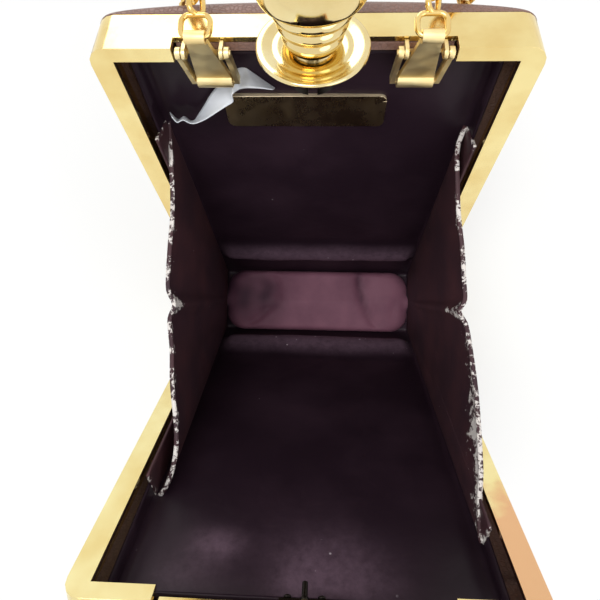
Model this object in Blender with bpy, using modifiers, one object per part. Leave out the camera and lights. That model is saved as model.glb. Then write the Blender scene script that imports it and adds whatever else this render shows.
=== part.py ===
"""A tall hinged box clutch, standing open, with a turned stopper clasp and a shoulder chain.

Metres, +Z up. X runs along the hinge and +Y points to the back half. Each half is modelled in its own
frame, whose origin is on the hinge axis: its Z runs up the half's arms and its Y is the depth away from
the face where the halves meet, positive on the back half and negative on the front half.
"""

import math

import bmesh
import bpy
from mathutils import Matrix, Vector

MM = 0.001
DEG = math.pi / 180.0

# Driving sizes of the two halves
WIDTH = 110.0 * MM
HEIGHT = 159.2 * MM  # hinge axis to the top of the rim
AXIS_ABOVE_BOTTOM = 2.0 * MM
HALF_OPEN = 23.16 * DEG  # each half leans out by this much in the open pose
SEAT_GAP = 0.3 * MM  # between neighbouring pieces
OVERRUN = 4.0 * MM  # how far a cutter runs past what it cuts
WELD = 0.001 * MM
TURN_WELD = 0.01 * MM

# Metal frame of a half
CORNER_RADIUS = 5.0 * MM
RIM_SIDE = 6.0 * MM  # width of the polished face where the halves meet
RIM_TOP = 4.1 * MM
FLANGE = 1.5 * MM
FRAME_WALL = 1.4 * MM
FRAME_DEPTH_TOP = 12.2 * MM
FRAME_DEPTH_BOTTOM = 15.9 * MM
RELIEF_DEPTH = 4.0 * MM  # of the slot for the chain, cut into both rims
RELIEF_END_GAP = 0.4 * MM
MITRE = 1.3 * MM  # clears the halves' lower front edges from each other

# Leather panel of a half
PANEL_RISE_TOP = 5.9 * MM
PANEL_RISE_BOTTOM = 5.0 * MM
PANEL_BELLY = 1.0 * MM
PANEL_ROLL = 2.5 * MM
PANEL_SEGMENTS = 15
PANEL_ROWS = 6

# Lining tray of a half
LINING_WALL = 0.8 * MM
LINING_FRONT = 0.5 * MM
LINING_DEPTH_BOTTOM = 15.9 * MM
LINING_DEPTH_TOP = 12.6 * MM
LINING_TOP_DROP = 2.2 * MM  # from the lip down to the underside of the tray's top wall
LINING_STRIP_GAP = 0.4 * MM

# Strip behind the chain slot
STRIP_THICKNESS = 1.8 * MM

# Hinge
BARREL_RADIUS = 1.9 * MM
BARREL_BORE = 1.2 * MM
BARREL_END_GAP = 2.0 * MM
PIN_RADIUS = 0.9 * MM
KNUCKLES = 7
LEAF_THICKNESS = 0.9 * MM
LEAF_DEPTH = 9.0 * MM
LEAF_TONGUE = 0.9 * MM  # where a knuckle's tongue starts, inside the barrel

# Soft pieces across the hinge
PAD_SIDE_GAP = 3.0 * MM
PAD_BACK_GAP = 1.3 * MM
PAD_THICKNESS = 2.0 * MM
GUSSET_THICKNESS = 0.8 * MM
GUSSET_DROP = 39.2 * MM  # from the top of the rim down to the gusset's tips
GUSSET_FOOT = 6.0 * MM
GUSSET_SAG = 22.0 * MM  # of the mouth edge's middle, below its tips' distance from the hinge axis
GUSSET_INSET = 0.2 * MM
GUSSET_APEX = 3.0 * MM

# Stopper knob, its spindle and the latch
DISC_RADIUS = 13.4 * MM
DISC_THICKNESS = 1.2 * MM
DISC_DISH = 0.5 * MM
BEAD_RADII = (7.2 * MM, 8.2 * MM, 9.4 * MM)
BEAD_PITCH = 3.7 * MM
BEAD_GROOVE = 1.3 * MM
NECK_FOOT = 0.7 * MM
NECK_STUD_RADIUS = 2.5 * MM
NECK_STUD = 3.0 * MM
CAP_RADIUS = 12.3 * MM
CAP_HEIGHT = 15.6 * MM
SPINDLE_RADIUS = 1.1 * MM
SPINDLE_INTO_NECK = 3.5 * MM
BOSS_RADIUS = 2.7 * MM
BOSS_TOP_DROP = 0.3 * MM
BRACKET_THICKNESS = 0.8 * MM
BRACKET_HALF = 8.0 * MM
CAM_WALL = 1.1 * MM  # outside its slot
CAM_THICKNESS = 2.0 * MM
CAM_TURN = 60.0 * DEG
NUT_RADIUS = 2.2 * MM
NUT_THICKNESS = 1.0 * MM
POST_RADIUS = 0.7 * MM
POST_CLEARANCE = 0.4 * MM
KEEPER_THICKNESS = 0.8 * MM
KEEPER_HALF = 6.0 * MM
KEEPER_BACK = 9.0 * MM

# Small screws
SCREW_RADIUS = 0.5 * MM
SCREW_HEAD_RADIUS = 1.0 * MM
SCREW_HEAD = 0.6 * MM
SCREW_BITE = 1.5 * MM

# Chain hangers
HANGER_X = 26.6 * MM
LUG_PIN_DEPTH = 1.0 * MM
LUG_PIN_RISE = 1.9 * MM  # above the lip
LUG_PIN_RADIUS = 0.75 * MM
LUG_BASE = 0.8 * MM
LUG_BASE_THICKNESS = 0.5 * MM
EAR_THICKNESS = 0.9 * MM
EAR_INNER = 4.1 * MM
EAR_ROUND = 1.5 * MM
BAIL_LENGTH = 15.5 * MM
BAIL_STRIP = 2.2 * MM
BAIL_THICKNESS = 1.2 * MM
HANGER_LENGTH = 22.2 * MM  # from the bail's bar to the upper eye
HANGER_STRIP = 0.6 * MM
HANGER_BASE_HALF = 4.7 * MM
HANGER_TIP_HALF = 2.35 * MM
HANGER_LEAN = 0.5 * DEG  # back from upright, in the open pose
LINK_WIRE = 0.65 * MM
LINK_HALF = 3.35 * MM
LINK_LENGTH = 5.5 * MM
LINK_CORNER = 0.95 * MM
LINK_LEAN = 70.0 * DEG

# Bare plate on the back lining, and the blank ribbon label beside it
PLATE_X = -3.0 * MM
PLATE_HALF = 24.0 * MM
PLATE_HEIGHT = 13.0 * MM
PLATE_DROP = 26.4 * MM  # of its middle, below the tray's top
PLATE_THICKNESS = 2.0 * MM
PLATE_CHAMFER = 0.9 * MM
PLATE_CORNER = 2.0 * MM
LABEL_X = -13.2 * MM
LABEL_WIDTH = 12.0 * MM
LABEL_LENGTH = 24.0 * MM
LABEL_THICKNESS = 0.4 * MM
LABEL_DEPTH = 9.9 * MM

# Shoulder chain: its width, and the neat coil behind the bag
CHAIN_WIDTH = 5.0 * MM
CHAIN_SPACING = 10.0 * MM  # of the points along its free stretches
COIL_MIDDLE = 27.5 * MM
COIL_TURNS = 4.5
COIL_STEP = 5.6 * MM  # from one turn to the next
COIL_CENTRE_Y = 108.0 * MM
COIL_SEGMENTS = 24  # in each turn

# The chain's free stretches, from their end links to the coil, in the standing bag's own frame. The first
# and last steps of each are straight.
RIGHT_ROUTE = (
    (26.6 * MM, 67.6 * MM, 160.1 * MM),
    (26.9 * MM, 70.0 * MM, 160.0 * MM),
    (29.2 * MM, 74.7 * MM, 158.3 * MM),
    (33.1 * MM, 78.4 * MM, 153.9 * MM),
    (37.3 * MM, 80.1 * MM, 147.2 * MM),
    (39.9 * MM, 80.3 * MM, 139.5 * MM),
    (41.2 * MM, 80.3 * MM, 128.0 * MM),
    (41.3 * MM, 80.2 * MM, 112.0 * MM),
    (40.5 * MM, 80.1 * MM, 93.0 * MM),
    (39.1 * MM, 80.1 * MM, 73.0 * MM),
    (37.4 * MM, 80.1 * MM, 53.0 * MM),
    (35.6 * MM, 80.7 * MM, 34.0 * MM),
    (34.3 * MM, 82.7 * MM, 17.0 * MM),
    (33.8 * MM, 88.4 * MM, 6.2 * MM),
    (33.8 * MM, 97.4 * MM, 2.5 * MM),
    (33.8 * MM, 102.7 * MM, 2.5 * MM),
)
LEFT_ROUTE = (
    (-26.6 * MM, 67.6 * MM, 160.1 * MM),
    (-26.8 * MM, 70.0 * MM, 160.0 * MM),
    (-28.3 * MM, 74.8 * MM, 158.2 * MM),
    (-30.9 * MM, 78.5 * MM, 153.7 * MM),
    (-33.3 * MM, 80.2 * MM, 147.0 * MM),
    (-34.8 * MM, 80.5 * MM, 139.0 * MM),
    (-35.8 * MM, 80.5 * MM, 127.0 * MM),
    (-36.2 * MM, 80.4 * MM, 111.0 * MM),
    (-36.0 * MM, 80.3 * MM, 92.0 * MM),
    (-35.4 * MM, 80.3 * MM, 73.0 * MM),
    (-34.7 * MM, 80.4 * MM, 55.0 * MM),
    (-34.1 * MM, 81.0 * MM, 37.0 * MM),
    (-33.8 * MM, 83.2 * MM, 22.0 * MM),
    (-33.8 * MM, 88.8 * MM, 11.6 * MM),
    (-33.8 * MM, 97.4 * MM, 8.1 * MM),
    (-33.8 * MM, 102.7 * MM, 8.1 * MM),
)

# Sizes worked out from those above
HALF_WIDTH = WIDTH / 2
BOTTOM = -AXIS_ABOVE_BOTTOM
FACE = SEAT_GAP / 2  # each half's rim stays this far from the meeting plane
LIP = HEIGHT - RIM_TOP
INNER_HALF = HALF_WIDTH - RIM_SIDE
LINING_HALF = INNER_HALF - SEAT_GAP
BARREL_HALF = INNER_HALF - BARREL_END_GAP
LEAF_LOW = BOTTOM + FRAME_WALL + SEAT_GAP
LEAF_HIGH = LEAF_LOW + LEAF_THICKNESS
LINING_LOW = LEAF_HIGH + SEAT_GAP
FLOOR = LINING_LOW + LINING_WALL
LINING_TOP = LIP - LINING_TOP_DROP
LINING_TOP_FRONT = RELIEF_DEPTH + STRIP_THICKNESS + LINING_STRIP_GAP
PLATE_CENTRE = LINING_TOP - PLATE_DROP
PAD_HALF = INNER_HALF - PAD_SIDE_GAP
PAD_DEPTH = LINING_DEPTH_BOTTOM - PAD_BACK_GAP
GUSSET_TOP = HEIGHT - GUSSET_DROP
GUSSET_MID = GUSSET_TOP - GUSSET_SAG
BARREL_CLEAR = BARREL_RADIUS + SEAT_GAP
STRIP_TOP = HEIGHT - FRAME_WALL - SEAT_GAP
BRACKET_BACK = RELIEF_DEPTH - SEAT_GAP
BRACKET_FRONT = BRACKET_BACK - BRACKET_THICKNESS
DISC_LOW = HEIGHT + SEAT_GAP
DISC_HIGH = DISC_LOW + DISC_THICKNESS
NECK_LOW = DISC_HIGH + SEAT_GAP
NECK_HIGH = NECK_LOW + NECK_FOOT + BEAD_PITCH * len(BEAD_RADII)
CAP_LOW = NECK_HIGH + SEAT_GAP
BOSS_LOW = LINING_TOP
CAM_HIGH = BOSS_LOW - SEAT_GAP
CAM_LOW = CAM_HIGH - CAM_THICKNESS
NUT_HIGH = CAM_LOW - SEAT_GAP
NUT_LOW = NUT_HIGH - NUT_THICKNESS
SPINDLE_HOLE = SPINDLE_RADIUS + SEAT_GAP
KEEPER_HIGH = LIP - SEAT_GAP
KEEPER_LOW = KEEPER_HIGH - KEEPER_THICKNESS
POST_LOW = CAM_LOW - POST_CLEARANCE
POST_EAR = POST_RADIUS + SEAT_GAP
POST_DEPTH = BOSS_RADIUS + SEAT_GAP + POST_EAR  # from the spindle, when shut
CAM_RADIUS = POST_DEPTH + POST_RADIUS + POST_CLEARANCE + CAM_WALL
EAR_OUTER = EAR_INNER + EAR_THICKNESS
BAIL_INNER = EAR_OUTER + SEAT_GAP
BAIL_OUTER = BAIL_INNER + BAIL_THICKNESS
LUG_PIN_HALF = BAIL_OUTER + SEAT_GAP
LUG_PIN_HEIGHT = LIP + LUG_PIN_RISE
RELIEF_HALF = HANGER_X + LUG_PIN_HALF + RELIEF_END_GAP
STRIP_HALF = RELIEF_HALF - SEAT_GAP
LUG_HOLE = LUG_PIN_RADIUS + SEAT_GAP
FOLD_HOLE = math.hypot(BAIL_STRIP, BAIL_THICKNESS) / 2 + SEAT_GAP
EYE_HOLE = LINK_WIRE + SEAT_GAP
SCREW_HOLE = SCREW_RADIUS + SEAT_GAP
CHAIN_RADIUS = CHAIN_WIDTH / 2

BACK, FRONT = 1, -1


def start_clean():
    """Removes the scene's objects and makes the two collections."""
    for item in list(bpy.data.objects):
        bpy.data.objects.remove(item, do_unlink=True)
    made = []
    for name in ("clutch", "cutters"):
        group = bpy.data.collections.new(name)
        bpy.context.scene.collection.children.link(group)
        made.append(group)
    return made


PARTS, CUTTERS = start_clean()


def finish_material(name, colour, roughness, metallic):
    """One Principled material."""
    material = bpy.data.materials.new(name)
    material.use_nodes = True
    shader = material.node_tree.nodes["Principled BSDF"]
    shader.inputs["Base Color"].default_value = (*colour, 1.0)
    shader.inputs["Roughness"].default_value = roughness
    shader.inputs["Metallic"].default_value = metallic
    return material


GOLD = finish_material("polished_gold_plate", (0.83, 0.62, 0.27), 0.12, 1.0)
LEATHER = finish_material("mauve_brown_leather", (0.26, 0.15, 0.12), 0.45, 0.0)
PLUM = finish_material("dark_plum_leather", (0.02, 0.008, 0.012), 0.35, 0.0)
SATIN = finish_material("mauve_satin", (0.20, 0.09, 0.11), 0.5, 0.0)
STEEL = finish_material("nickelled_steel", (0.55, 0.52, 0.48), 0.3, 1.0)
RIBBON = finish_material("white_ribbon", (0.80, 0.82, 0.86), 0.5, 0.0)


def empty(name, parent=None):
    """An empty that carries the pieces of one half or one moving piece."""
    item = bpy.data.objects.new(name, None)
    PARTS.objects.link(item)
    item.parent = parent
    return item


def add(name, mesh, parent, material):
    """Puts a mesh in the model as one named piece."""
    item = bpy.data.objects.new(name, mesh)
    mesh.name = name
    PARTS.objects.link(item)
    item.parent = parent
    mesh.materials.clear()
    mesh.materials.append(material)
    return item


def cut(item, mesh, how="DIFFERENCE"):
    """Takes a cutter's shape away from a piece, or joins or crosses it, with an exact Boolean."""
    cutter = bpy.data.objects.new("cutter_" + item.name, mesh)
    CUTTERS.objects.link(cutter)
    cutter.parent = item.parent
    cutter.matrix_parent_inverse = item.matrix_parent_inverse
    cutter.matrix_basis = item.matrix_basis
    cutter.hide_render = True
    cutter.display_type = "WIRE"
    boolean = item.modifiers.new("cut", "BOOLEAN")
    boolean.operation = how
    boolean.solver = "EXACT"
    boolean.object = cutter
    return item


def join(item, mesh):
    """Adds a shape to a piece as one body."""
    return cut(item, mesh, "UNION")


def tidy(mesh, matrix=None):
    """Welds a mesh, turns its faces outward and places it."""
    cage = bmesh.new()
    cage.from_mesh(mesh)
    if matrix is not None:
        cage.transform(matrix)
    bmesh.ops.remove_doubles(cage, verts=cage.verts, dist=WELD)
    bmesh.ops.recalc_face_normals(cage, faces=cage.faces)
    cage.to_mesh(mesh)
    cage.free()
    return mesh


def ordered(a, b):
    """The lower value first."""
    return (a, b) if a < b else (b, a)


def box(x, y, z):
    """A box mesh from its three (low, high) spans."""
    cage = bmesh.new()
    bmesh.ops.create_cube(cage, size=1.0)
    spans = [ordered(*span) for span in (x, y, z)]
    size = Vector([high - low for low, high in spans])
    centre = Vector([(high + low) / 2 for low, high in spans])
    cage.transform(Matrix.Translation(centre) @ Matrix.Diagonal(size).to_4x4())
    mesh = bpy.data.meshes.new("box")
    cage.to_mesh(mesh)
    cage.free()
    return mesh


AXES = {
    "X": Matrix(((0, 0, 1, 0), (1, 0, 0, 0), (0, 1, 0, 0), (0, 0, 0, 1))),
    "Y": Matrix(((1, 0, 0, 0), (0, 0, -1, 0), (0, 1, 0, 0), (0, 0, 0, 1))),
    "Z": Matrix.Identity(4),
}


def along(axis, low, high):
    """Turns a shape drawn flat, with its thickness along Z, so that it spans low to high along an axis."""
    shift = {"X": Vector((1, 0, 0)), "Y": Vector((0, 1, 0)), "Z": Vector((0, 0, 1))}[axis]
    return Matrix.Translation(shift * (low + high) / 2) @ AXES[axis]


def from_curve(curve, matrix):
    """The mesh of a curve, welded and placed."""
    holder = bpy.data.objects.new("outline", curve)
    PARTS.objects.link(holder)
    evaluated = holder.evaluated_get(bpy.context.evaluated_depsgraph_get())
    mesh = bpy.data.meshes.new_from_object(evaluated)
    bpy.data.objects.remove(holder, do_unlink=True)
    bpy.data.curves.remove(curve)
    return tidy(mesh, matrix)


def plate(axis, low, high, *loops):
    """A flat outline, with holes as further loops, from low to high along an axis.

    Loops are (x, z) points for axis Y, (y, z) points for axis X and (x, y) points for axis Z.
    """
    low, high = ordered(low, high)
    curve = bpy.data.curves.new("outline", "CURVE")
    curve.dimensions = "2D"
    curve.fill_mode = "BOTH"
    curve.extrude = (high - low) / 2
    for loop in loops:
        spline = curve.splines.new("POLY")
        spline.points.add(len(loop) - 1)
        for point, (a, b) in zip(spline.points, loop):
            point.co = (a, b, 0.0, 1.0)
        spline.use_cyclic_u = True
    return from_curve(curve, along(axis, low, high))


def rod(axis, radius, centre, low, high, sides=16):
    """A cylinder along an axis. centre holds its two other coordinates, as in plate."""
    low, high = ordered(low, high)
    cage = bmesh.new()
    bmesh.ops.create_cone(
        cage, cap_ends=True, segments=sides, radius1=radius, radius2=radius, depth=high - low
    )
    cage.transform(along(axis, low, high) @ Matrix.Translation((centre[0], centre[1], 0)))
    mesh = bpy.data.meshes.new("rod")
    cage.to_mesh(mesh)
    cage.free()
    return mesh


def arc(centre, radius, start, end, steps):
    """Points along an arc, angles in radians."""
    angles = [start + (end - start) * i / steps for i in range(steps + 1)]
    return [(centre[0] + radius * math.cos(t), centre[1] + radius * math.sin(t)) for t in angles]


def rounded(left, right, low, high, radius, steps=4):
    """A rectangle's outline with round corners."""
    corners = (
        (right - radius, low + radius),
        (right - radius, high - radius),
        (left + radius, high - radius),
        (left + radius, low + radius),
    )
    points = []
    for turn, corner in enumerate(corners):
        start = (turn - 1) * math.pi / 2
        points += arc(corner, radius, start, start + math.pi / 2, steps)
    return points


def turned(name, profile, parent, material, sides=32):
    """A turned piece. The profile's (radius, height) points run down its outer side."""
    mesh = bpy.data.meshes.new(name)
    cage = bmesh.new()
    points = [cage.verts.new((radius, 0.0, height)) for radius, height in profile]
    for first, second in zip(points, points[1:]):
        cage.edges.new((first, second))
    if profile[0][0] > 0:  # a bored piece has a closed profile
        cage.edges.new((points[-1], points[0]))
    cage.to_mesh(mesh)
    cage.free()
    item = add(name, mesh, parent, material)
    screw = item.modifiers.new("turn", "SCREW")
    screw.axis = "Z"
    screw.steps = sides
    screw.render_steps = sides
    screw.use_merge_vertices = True
    screw.merge_threshold = TURN_WELD
    return item


def depth_line(at_bottom, at_top, height):
    """A depth that runs straight from one value at the bottom to another at the top."""
    share = (height - BOTTOM) / (HEIGHT - BOTTOM)
    return at_bottom + (at_top - at_bottom) * share


def make_frame(name, facing, parent):
    """The polished metal frame: a rim that faces the other half, with a wall behind it."""
    outline = rounded(-HALF_WIDTH, HALF_WIDTH, BOTTOM, HEIGHT, CORNER_RADIUS)
    inner = rounded(
        FRAME_WALL - HALF_WIDTH,
        HALF_WIDTH - FRAME_WALL,
        BOTTOM + FRAME_WALL,
        HEIGHT - FRAME_WALL,
        CORNER_RADIUS - FRAME_WALL,
    )
    far = FRAME_DEPTH_BOTTOM + OVERRUN
    item = add(name, plate("Y", facing * FACE, facing * far, outline), parent, GOLD)
    slant = [
        (facing * depth_line(FRAME_DEPTH_BOTTOM, FRAME_DEPTH_TOP, BOTTOM - OVERRUN), BOTTOM - OVERRUN),
        (facing * depth_line(FRAME_DEPTH_BOTTOM, FRAME_DEPTH_TOP, HEIGHT + OVERRUN), HEIGHT + OVERRUN),
        (facing * (far + OVERRUN), HEIGHT + OVERRUN),
        (facing * (far + OVERRUN), BOTTOM - OVERRUN),
    ]
    wide = HALF_WIDTH + OVERRUN
    cut(item, plate("X", -wide, wide, slant))
    cut(item, plate("Y", facing * (FACE + FLANGE), facing * (far + OVERRUN), inner))
    near = -facing * OVERRUN
    through = (near, facing * (FACE + FLANGE + OVERRUN))
    cut(item, box((-INNER_HALF, INNER_HALF), through, (BOTTOM + FRAME_WALL, LIP)))
    slot = (near, facing * RELIEF_DEPTH)
    cut(item, box((-RELIEF_HALF, RELIEF_HALF), slot, (LIP - OVERRUN, HEIGHT + OVERRUN)))
    below = BOTTOM - OVERRUN
    barrel_room = BARREL_HALF + PIN_RADIUS
    cut(item, box((-barrel_room, barrel_room), (near, facing * BARREL_CLEAR), (below, BARREL_CLEAR)))
    cut(item, box((-wide, wide), (near, facing * MITRE), (below, 0.0)))


def panel_shape(facing):
    """The closed, arched body of a padded leather panel, with its top and bottom edges rolled."""
    quarters = [i * math.pi / 4 for i in range(3)]
    ends = [(0.0, PANEL_ROLL, True)]
    for angle in quarters:
        ends.append((PANEL_ROLL * (1 - math.cos(angle)), PANEL_ROLL * (1 - math.sin(angle)), False))
    rows = [(BOTTOM + inward, sunk, flat) for inward, sunk, flat in ends]
    straight = HEIGHT - BOTTOM - 2 * PANEL_ROLL
    rows += [(BOTTOM + PANEL_ROLL + straight * i / PANEL_ROWS, 0.0, False) for i in range(1, PANEL_ROWS)]
    rows += [(HEIGHT - inward, sunk, flat) for inward, sunk, flat in reversed(ends)]
    cage = bmesh.new()
    grid = []
    for height, sunk, flat in rows:
        share = (height - BOTTOM) / (HEIGHT - BOTTOM)
        rise = PANEL_RISE_BOTTOM + (PANEL_RISE_TOP - PANEL_RISE_BOTTOM) * share
        rise += PANEL_BELLY * math.sin(math.pi * share) - sunk
        seat = depth_line(FRAME_DEPTH_BOTTOM, FRAME_DEPTH_TOP, height) + SEAT_GAP
        line = []
        for k in range(PANEL_SEGMENTS + 1):
            angle = math.pi * k / PANEL_SEGMENTS
            lift = 0.0 if flat else rise * math.sin(angle)
            line.append(cage.verts.new((-HALF_WIDTH * math.cos(angle), facing * (seat + lift), height)))
        grid.append(line)
    for first, second in zip(grid, grid[1:]):
        for k in range(PANEL_SEGMENTS):
            cage.faces.new((first[k], first[k + 1], second[k + 1], second[k]))
    bmesh.ops.remove_doubles(cage, verts=cage.verts, dist=WELD)
    rim = [edge for edge in cage.edges if edge.is_boundary]
    bmesh.ops.holes_fill(cage, edges=rim, sides=0)
    mesh = bpy.data.meshes.new("panel")
    cage.to_mesh(mesh)
    cage.free()
    return tidy(mesh)


def make_panel(name, facing, parent):
    """The leather-covered, padded panel on the outside of a half, hollowed a little for the lining tray."""
    item = add(name, panel_shape(facing), parent, LEATHER)
    outline = rounded(-HALF_WIDTH, HALF_WIDTH, BOTTOM, HEIGHT, CORNER_RADIUS)
    far = FRAME_DEPTH_BOTTOM + PANEL_RISE_BOTTOM + PANEL_RISE_TOP + OVERRUN
    cut(item, plate("Y", 0.0, facing * far, outline), "INTERSECT")
    wide = LINING_HALF + SEAT_GAP
    cut(item, plate("X", -wide, wide, tray_outline(facing, SEAT_GAP)))


def lining_depth(height):
    """How deep the lining's inner face lies at a height."""
    share = (height - FLOOR) / (LINING_TOP - FLOOR)
    return LINING_DEPTH_BOTTOM + (LINING_DEPTH_TOP - LINING_DEPTH_BOTTOM) * share


def tray_outline(facing, larger):
    """The lining tray's outer outline from the side, larger all round by a gap."""
    low, high = LINING_LOW - larger, LINING_TOP + LINING_WALL + larger
    return [
        (facing * LINING_FRONT, low),
        (facing * (lining_depth(low) + LINING_WALL + larger), low),
        (facing * (lining_depth(high) + LINING_WALL + larger), high),
        (facing * LINING_FRONT, high),
    ]


def make_lining(name, facing, parent):
    """The lining tray: back, sides, floor and top of one half's inside."""
    inner = [
        (-facing * OVERRUN, FLOOR),
        (facing * LINING_DEPTH_BOTTOM, FLOOR),
        (facing * LINING_DEPTH_TOP, LINING_TOP),
        (-facing * OVERRUN, LINING_TOP),
    ]
    item = add(name, plate("X", -LINING_HALF, LINING_HALF, tray_outline(facing, 0.0)), parent, PLUM)
    inside = LINING_HALF - LINING_WALL
    cut(item, plate("X", -inside, inside, inner))
    wide = LINING_HALF + OVERRUN
    near = -facing * OVERRUN
    above = LINING_TOP + LINING_WALL + OVERRUN
    cut(item, box((-wide, wide), (near, facing * LINING_TOP_FRONT), (LINING_TOP - OVERRUN, above)))
    cut(item, box((-wide, wide), (near, facing * BARREL_CLEAR), (LINING_LOW - OVERRUN, FLOOR + OVERRUN)))


def make_rim_strip(name, facing, parent, material):
    """The strip that closes the chain slot behind a rim."""
    depth = (facing * RELIEF_DEPTH, facing * (RELIEF_DEPTH + STRIP_THICKNESS))
    return add(name, box((-STRIP_HALF, STRIP_HALF), depth, (LIP, STRIP_TOP)), parent, material)


def make_leaf(name, facing, parent, first):
    """One leaf of the hinge, with every second knuckle from the first one."""
    start = facing * BARREL_CLEAR
    level = (LEAF_LOW, LEAF_HIGH)
    item = add(name, box((-BARREL_HALF, BARREL_HALF), (start, facing * LEAF_DEPTH), level), parent, GOLD)
    tongue = (facing * LEAF_TONGUE, start + facing * LEAF_THICKNESS)
    pitch = 2 * BARREL_HALF / KNUCKLES
    for i in range(first, KNUCKLES, 2):
        low = -BARREL_HALF + pitch * i + (SEAT_GAP / 2 if i else 0.0)
        high = -BARREL_HALF + pitch * (i + 1) - (SEAT_GAP / 2 if i < KNUCKLES - 1 else 0.0)
        join(item, box((low, high), tongue, level))
        join(item, rod("X", BARREL_RADIUS, (0.0, 0.0), low, high))
    reach = BARREL_HALF + OVERRUN
    cut(item, rod("X", BARREL_BORE, (0.0, 0.0), -reach, reach))


def make_halves(back, front):
    """Frames, panels, linings, rim strips and the hinge."""
    for facing, parent, word in ((BACK, back, "back"), (FRONT, front, "front")):
        make_frame(word + "_frame", facing, parent)
        make_panel(word + "_panel", facing, parent)
        make_lining(word + "_lining", facing, parent)
    strip = make_rim_strip("back_rim_strip", BACK, back, LEATHER)
    for place in bracket_screw_places():
        cut(strip, rod("Y", SCREW_HOLE, place, 0.0, RELIEF_DEPTH + SCREW_BITE, 10))
    strip = make_rim_strip("front_rim_strip", FRONT, front, GOLD)
    for place in keeper_screw_places():
        cut(strip, rod("Z", SCREW_HOLE, place, LIP - OVERRUN, LIP + SCREW_BITE, 10))
    make_leaf("back_hinge_leaf", BACK, back, 0)
    make_leaf("front_hinge_leaf", FRONT, front, 1)
    pin = BARREL_HALF + SEAT_GAP
    add("hinge_pin", rod("X", PIN_RADIUS, (0.0, 0.0), -pin, pin), back, STEEL)


def bracket_screw_places():
    """(x, z) of the two screws that hold the knob's bracket."""
    x = (BOSS_RADIUS + BRACKET_HALF) / 2
    return [(side * x, (LIP + STRIP_TOP) / 2) for side in (-1, 1)]


def keeper_screw_places():
    """(x, y) of the two screws that hold the keeper, on the front half."""
    x = KEEPER_HALF * 2 / 3
    return [(side * x, -(RELIEF_DEPTH + STRIP_THICKNESS / 2)) for side in (-1, 1)]


def make_clasp(back, front, knob):
    """The stopper knob, its bracket and spindle, the rotary hook and the keeper."""
    strap = box((-BRACKET_HALF, BRACKET_HALF), (BRACKET_FRONT, BRACKET_BACK), (LIP, STRIP_TOP))
    bracket = add("knob_bracket", strap, back, GOLD)
    boss_top = HEIGHT - BOSS_TOP_DROP
    join(bracket, box((-BOSS_RADIUS, BOSS_RADIUS), (0.0, BRACKET_BACK), (BOSS_LOW, boss_top)))
    join(bracket, rod("Z", BOSS_RADIUS, (0.0, 0.0), BOSS_LOW, boss_top, 20))
    cut(bracket, rod("Z", SPINDLE_HOLE, (0.0, 0.0), BOSS_LOW - OVERRUN, boss_top + OVERRUN))
    seat = BRACKET_FRONT - SEAT_GAP
    tip = RELIEF_DEPTH + SCREW_BITE - SEAT_GAP
    for word, place in zip(("left", "right"), bracket_screw_places()):
        cut(bracket, rod("Y", SCREW_HOLE, place, -OVERRUN, RELIEF_DEPTH, 10))
        head = rod("Y", SCREW_HEAD_RADIUS, place, seat - SCREW_HEAD, seat, 12)
        screw = add("bracket_screw_" + word, head, back, STEEL)
        join(screw, rod("Y", SCREW_RADIUS, place, seat - SCREW_HEAD / 2, tip, 8))

    spindle_top = NECK_LOW + SPINDLE_INTO_NECK
    spindle_low = NUT_LOW - SEAT_GAP
    turned("knob_spindle", [
        (0.0, spindle_top), (SPINDLE_RADIUS, spindle_top), (SPINDLE_RADIUS, spindle_low), (0.0, spindle_low),
    ], knob, STEEL, 16)
    turned("knob_disc", disc_profile(), knob, GOLD, 40)
    neck = turned("knob_neck", neck_profile(), knob, GOLD)
    cut(neck, rod("Z", SPINDLE_HOLE, (0.0, 0.0), NECK_LOW - OVERRUN, spindle_top + SEAT_GAP))
    cap = turned("knob_cap", cap_profile(), knob, GOLD)
    socket = NECK_STUD_RADIUS + SEAT_GAP
    cut(cap, rod("Z", socket, (0.0, 0.0), CAP_LOW - OVERRUN, NECK_HIGH + NECK_STUD + SEAT_GAP))

    cam = add("latch_cam", rod("Z", CAM_RADIUS, (0.0, 0.0), CAM_LOW, CAM_HIGH, 32), knob, STEEL)
    cut(cam, rod("Z", SPINDLE_HOLE, (0.0, 0.0), CAM_LOW - OVERRUN, CAM_HIGH + OVERRUN))
    cut(cam, plate("Z", CAM_LOW - OVERRUN, CAM_HIGH + OVERRUN, hook_slot()))
    nut = add("cam_nut", rod("Z", NUT_RADIUS, (0.0, 0.0), NUT_LOW, NUT_HIGH, 6), knob, STEEL)
    cut(nut, rod("Z", SPINDLE_HOLE, (0.0, 0.0), NUT_LOW - OVERRUN, NUT_HIGH + OVERRUN))

    tongue = box((-KEEPER_HALF, KEEPER_HALF), (-RELIEF_DEPTH, -KEEPER_BACK), (KEEPER_LOW, KEEPER_HIGH))
    keeper = add("latch_keeper", tongue, front, STEEL)
    join(keeper, rod("Z", POST_EAR, (0.0, -POST_DEPTH), KEEPER_LOW, KEEPER_HIGH))
    join(keeper, rod("Z", POST_RADIUS, (0.0, -POST_DEPTH), POST_LOW, KEEPER_LOW + KEEPER_THICKNESS / 2))
    seat = KEEPER_LOW - SEAT_GAP
    tip = LIP + SCREW_BITE - SEAT_GAP
    for word, place in zip(("left", "right"), keeper_screw_places()):
        cut(keeper, rod("Z", SCREW_HOLE, place, KEEPER_LOW - OVERRUN, KEEPER_HIGH + OVERRUN, 10))
        head = rod("Z", SCREW_HEAD_RADIUS, place, seat - SCREW_HEAD, seat, 12)
        screw = add("keeper_screw_" + word, head, front, STEEL)
        join(screw, rod("Z", SCREW_RADIUS, place, seat - SCREW_HEAD / 2, tip, 8))


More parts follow.
